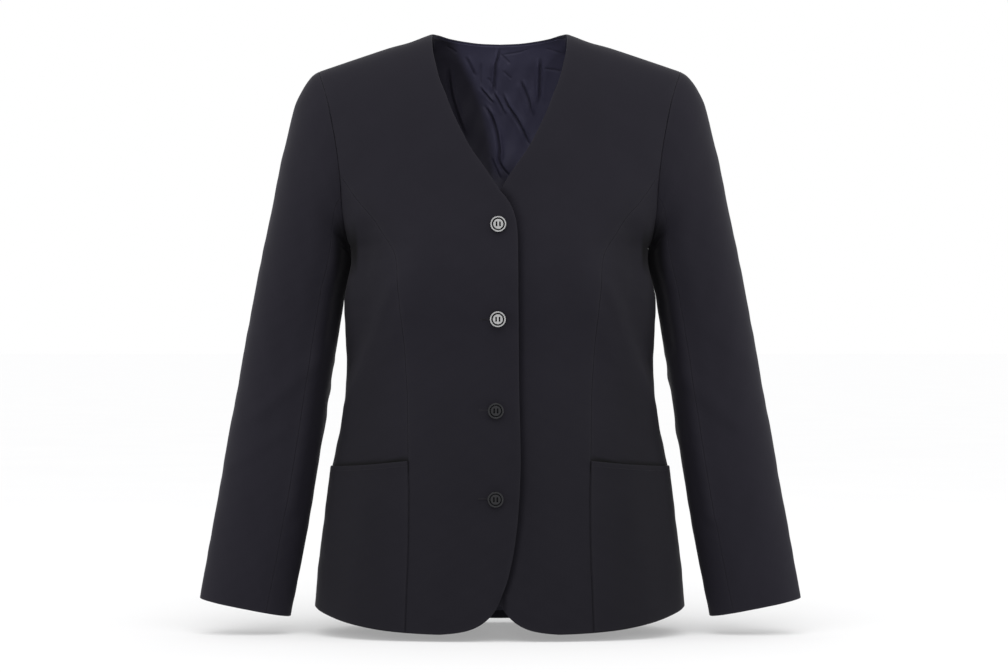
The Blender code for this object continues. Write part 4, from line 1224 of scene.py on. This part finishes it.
def buttonDisc(name):
    look = buttonPiece
    around = np.linspace(0, 2 * math.pi, look["segments"], endpoint=False)
    bm = bmesh.new()
    rings = [[bm.verts.new((radius * math.cos(a), radius * math.sin(a), height)) for a in around]
             for radius, height in look["profile"][1:-1]]
    low, top = [bm.verts.new((0, 0, look["profile"][k][1])) for k in (0, -1)]
    for k in range(look["segments"]):
        after = (k + 1) % look["segments"]
        bm.faces.new((low, rings[0][after], rings[0][k]))
        bm.faces.new((top, rings[-1][k], rings[-1][after]))
        for lower, upper in zip(rings, rings[1:]):
            bm.faces.new((lower[k], lower[after], upper[after], upper[k]))
    bmesh.ops.recalc_face_normals(bm, faces=bm.faces)
    disc = linked(name, meshOf(bm, name))
    bm = bmesh.new()
    for sx in (-1, 1):
        for sy in (-1, 1):
            hole = bmesh.ops.create_cone(bm, cap_ends=True, segments=20, depth=12,
                                         radius1=look["holeRadius"], radius2=look["holeRadius"])
            bmesh.ops.translate(bm, verts=hole["verts"],
                                vec=(sx * look["holePitch"], sy * look["holePitch"], 1))
    cutter = linked(name + "Holes", meshOf(bm, name + "Holes"))
    cut = disc.modifiers.new("holes", "BOOLEAN")
    cut.object, cut.solver = cutter, "EXACT"
    mesh = evaluated(disc)
    mesh.polygons.foreach_set("use_smooth", np.ones(len(mesh.polygons), bool))
    mesh.set_sharp_from_angle(angle=math.radians(look["sharp"]))
    mesh.materials.clear()
    mesh.materials.append(resin)
    bpy.data.objects.remove(cutter, do_unlink=True)
    return disc


threadPiece = {
    "radius": 0.27, "strands": (-0.63, -0.21, 0.21, 0.63), "arch": 0.22, "reach": 1.05,
    "holeLength": 19.5, "holeGap": 0.5, "holePitch": 0.45, "holeStitch": (1.2, 0.3),
    "topPitch": 2.9, "topStitch": (2.2, 0.36),
}
strandLines = []
for k, ((x, z), (tilt, lean)) in enumerate(zip(buttonPiece["places"], buttonPiece["tilts"])):
    disc = buttonDisc(f"button_{k + 1}_resin")
    centre, right, up, out, lift = facingFrame(x, z, tilt, lean)
    for vertex in disc.data.vertices:
        px, py, pz = vertex.co
        vertex.co = ((centre + right * px + up * py + out * (pz + lift)) * mm).tolist()
    keep(disc, f"button_{k + 1}")
    pitch, face = buttonPiece["holePitch"], buttonPiece["profile"][-1][1] + lift
    a = np.linspace(-1, 1, 13)
    # each strand is level over the face and goes down into a hole at both of its ends
    arch = threadPiece["arch"] * (1 - a**4) - 2.2 * np.clip(np.abs(a) - 0.9, 0, 1) * 10
    for column in (-pitch, pitch):
        for strand in threadPiece["strands"]:
            start = centre + right * (column + strand)
            strandLines.append([(start + up * (pitch * t * threadPiece["reach"])
                                 + out * (face + h), out) for t, h in zip(a, arch)])
print("buttons done")

# threads, made with Geometry Nodes

threadLooks = {
    "sewingThread": {"twist": 4200, "dark": (0.0015, 0.0015, 0.002, 1),
                     "light": (0.004, 0.004, 0.005, 1), "roughness": 0.7, "specular": 0.05},
    "buttonholeTwist": {"twist": 3600, "dark": (0.0075, 0.0070, 0.0095, 1),
                        "light": (0.015, 0.014, 0.018, 1), "roughness": 0.5, "specular": 0.2},
}


def threadMaterial(name):
    look, sheet = threadLooks[name], ShaderSheet(name)
    twist = sheet.noise(sheet.place(), look["twist"])
    return sheet.finish(sheet.mixColor(twist, look["dark"], look["light"]),
                        look["roughness"] + twist * 0.1, look["specular"],
                        {"Normal": sheet.bump(twist, 0.3)})


class GeometrySheet(ShaderSheet):
    def __init__(self, name, sizes):
        self.tree = bpy.data.node_groups.new(name, "GeometryNodeTree")
        self.socket("Geometry", "Geometry", "INPUT")
        for label, value in sizes.items():
            self.socket(label, "Float", "INPUT").default_value = value
        self.socket("Geometry", "Geometry", "OUTPUT")
        self.start = self.tree.nodes.new("NodeGroupInput")

    def socket(self, label, kind, way):
        return self.tree.interface.new_socket(label, in_out=way, socket_type="NodeSocket" + kind)

    def given(self, label):
        return Wire(self, self.start.outputs[label])

    def done(self, geometry, material):
        whole = self.node("GeometryNodeRealizeInstances", None, {0: geometry})
        smooth = self.node("GeometryNodeSetShadeSmooth", None, {"Geometry": whole})
        finished = self.node("GeometryNodeSetMaterial", None,
                             {"Geometry": smooth, "Material": threadMaterial(material)})
        self.node("NodeGroupOutput", None, {0: finished})
        return self.tree


def stitchTree():  # short stitches along a line, or across it
    sheet = GeometrySheet("stitchRow", {"pitch": 0.003, "length": 0.002, "thickness": 0.0004,
                                        "across": 0.0})
    curve = sheet.node("GeometryNodeMeshToCurve", None, {0: sheet.given("Geometry")})
    spaced = sheet.node("GeometryNodeResampleCurve", {"mode": "LENGTH"},
                        {"Curve": curve, "Length": sheet.given("pitch")})
    tangent = sheet.node("GeometryNodeInputTangent")
    out = sheet.node("GeometryNodeInputNamedAttribute", {"data_type": "FLOAT_VECTOR"},
                     {"Name": "out"})
    beside = sheet.node("ShaderNodeVectorMath", {"operation": "CROSS_PRODUCT"},
                        {0: out, 1: tangent})
    along = sheet.node("ShaderNodeMix", {"data_type": "VECTOR"},
                       {0: sheet.given("across"), 4: tangent, 5: beside}, 1)
    turned = sheet.node("FunctionNodeAxesToRotation",
                        {"primary_axis": "X", "secondary_axis": "Z"}, {0: along, 1: out})
    wobble = sheet.node("FunctionNodeRandomValue", {"data_type": "FLOAT"},
                        {2: 0.88, 3: 1.1, "Seed": 4}, 1)
    thick = sheet.given("thickness")
    size = sheet.node("ShaderNodeCombineXYZ", None,
                      {0: sheet.given("length") * wobble, 1: thick, 2: thick})
    bead = sheet.node("GeometryNodeMeshUVSphere", None, {"Segments": 8, "Rings": 6, "Radius": 0.5})
    placed = sheet.node("GeometryNodeInstanceOnPoints", None,
                        {"Points": spaced, "Instance": bead, "Rotation": turned, "Scale": size})
    return sheet.done(placed, "buttonholeTwist")


def strandTree():  # a round thread that follows each line
    sheet = GeometrySheet("threadStrand", {"radius": 0.00026})
    curve = sheet.node("GeometryNodeMeshToCurve", None, {0: sheet.given("Geometry")})
    ring = sheet.node("GeometryNodeCurvePrimitiveCircle", {"mode": "RADIUS"},
                      {"Resolution": 8, "Radius": sheet.given("radius")})
    tube = sheet.node("GeometryNodeCurveToMesh", None,
                      {"Curve": curve, "Profile Curve": ring, "Fill Caps": True})
    return sheet.done(tube, "sewingThread")


def threaded(name, lines, tree, across=0.0, **sizes):  # sizes in millimetres
    verts = [place for line in lines for place, _ in line]
    outs = [out for line in lines for _, out in line]
    edges, start = [], 0
    for line in lines:
        edges += [(start + k, start + k + 1) for k in range(len(line) - 1)]
        start += len(line)
    mesh = bpy.data.meshes.new(name)
    mesh.from_pydata((np.array(verts) * mm).tolist(), edges, [])
    layer = mesh.attributes.new("out", "FLOAT_VECTOR", "POINT")
    layer.data.foreach_set("vector", np.array(outs).reshape(-1))
    piece = linked(name, mesh)
    sewn = piece.modifiers.new("threads", "NODES")
    sewn.node_group = tree
    given = {"across": across, **{label: size * mm for label, size in sizes.items()}}
    for socket in tree.interface.items_tree:
        if socket.in_out == "INPUT" and socket.name in given:
            sewn[socket.identifier] = given[socket.name]
    evaluated(piece)
    keep(piece, None)


def onFront(xs, z, proud):  # a level line over the front, by its places seen from there
    grid = frontPoints(xs, np.full(len(xs), z))
    points, normals = overBody(grid)
    return [(place + out * proud, out) for place, out in zip(points, normals)]


stitches = stitchTree()
threaded("button_threads", strandLines, strandTree(), radius=threadPiece["radius"])
holeLines = []
for x, z in buttonPiece["places"]:
    xs = np.linspace(x - threadPiece["holeLength"], x + 1, 24)
    for above in (-threadPiece["holeGap"], threadPiece["holeGap"]):
        holeLines.append(onFront(xs, z + above, 0.12))
length, thickness = threadPiece["holeStitch"]
threaded("buttonhole_stitches", holeLines, stitches, 1.0, pitch=threadPiece["holePitch"],
         length=length, thickness=thickness)
length, thickness = threadPiece["topStitch"]
threaded("pocket_topstitches", topstitches, stitches, pitch=threadPiece["topPitch"],
         length=length, thickness=thickness)
print("threads done")

# backdrop, light and camera

stageLook = {
    "floor": -0.644, "paper": (0.44, 0.44, 0.445, 1), "grain": (0.46, 0.46, 0.46, 1),
    "floorX": (-30, 30), "floorY": (-6, 60), "glow": 0.30, "world": 1.0,
    "sun": (1.9, 58, (0, 0.50, -0.86)),  # power, width in degrees, and the way it shines
    # place, what it looks at, width and height, power
    "boxes": {
        "frontBox": ((0, -3.4, 0.16), (0, 0, -0.24), 0.55, 0.42, 18),
        "leftBox": ((-2.6, -0.38, -0.1), (-0.2, 0, -0.25), 0.9, 1.3, 23),
        "rightBox": ((2.6, -0.38, -0.1), (0.2, 0, -0.25), 0.9, 1.3, 28),
    },
}


def paperMaterial():
    sheet = ShaderSheet("paleFloor")
    color = sheet.mixColor(sheet.noise(sheet.place(), 3), stageLook["paper"], stageLook["grain"])
    return sheet.finish(color, 0.95, 0, {"Emission Color": (1, 1, 1, 1),
                                         "Emission Strength": stageLook["glow"]})


def aim(made, away):
    made.rotation_euler = Vector(away).to_track_quat("-Z", "Y").to_euler()


floorMesh = bpy.data.meshes.new("floor")
floorMesh.from_pydata([(x, y, stageLook["floor"]) for y in stageLook["floorY"]
                       for x in stageLook["floorX"]], [], [(0, 1, 3, 2)])
floorMesh.materials.append(paperMaterial())
floor = linked("floor", floorMesh)

world = bpy.data.worlds.new("studio")
bpy.context.scene.world = world
world.use_nodes = True
background = world.node_tree.nodes["Background"]
background.inputs[0].default_value = (1, 1, 1, 1)
background.inputs[1].default_value = stageLook["world"]

sun = bpy.data.lights.new("topLight", "SUN")
sun.energy, degrees, way = stageLook["sun"]
sun.angle = math.radians(degrees)
aim(linked("topLight", sun), way)

for name, (place, target, wide, high, power) in stageLook["boxes"].items():
    box = bpy.data.lights.new(name, "AREA")
    box.shape, box.size, box.size_y, box.energy = "RECTANGLE", wide, high, power
    boxLight = linked(name, box)
    boxLight.location = place
    aim(boxLight, Vector(target) - Vector(place))

cameraLook = {"distance": 3.6, "x": 0.00506, "z": -0.3036, "frameWidth": 1.1592, "sensor": 36}
camera = linked("camera", bpy.data.cameras.new("camera"))
camera.location = (cameraLook["x"], -cameraLook["distance"], cameraLook["z"])
camera.rotation_euler = (math.pi / 2, 0, 0)
camera.data.sensor_width = cameraLook["sensor"]
camera.data.lens = cameraLook["sensor"] * cameraLook["distance"] / cameraLook["frameWidth"]
camera.data.clip_end = 60
bpy.context.scene.camera = camera
bpy.context.scene.view_settings.view_transform = "Standard"
print("camera and light ready")
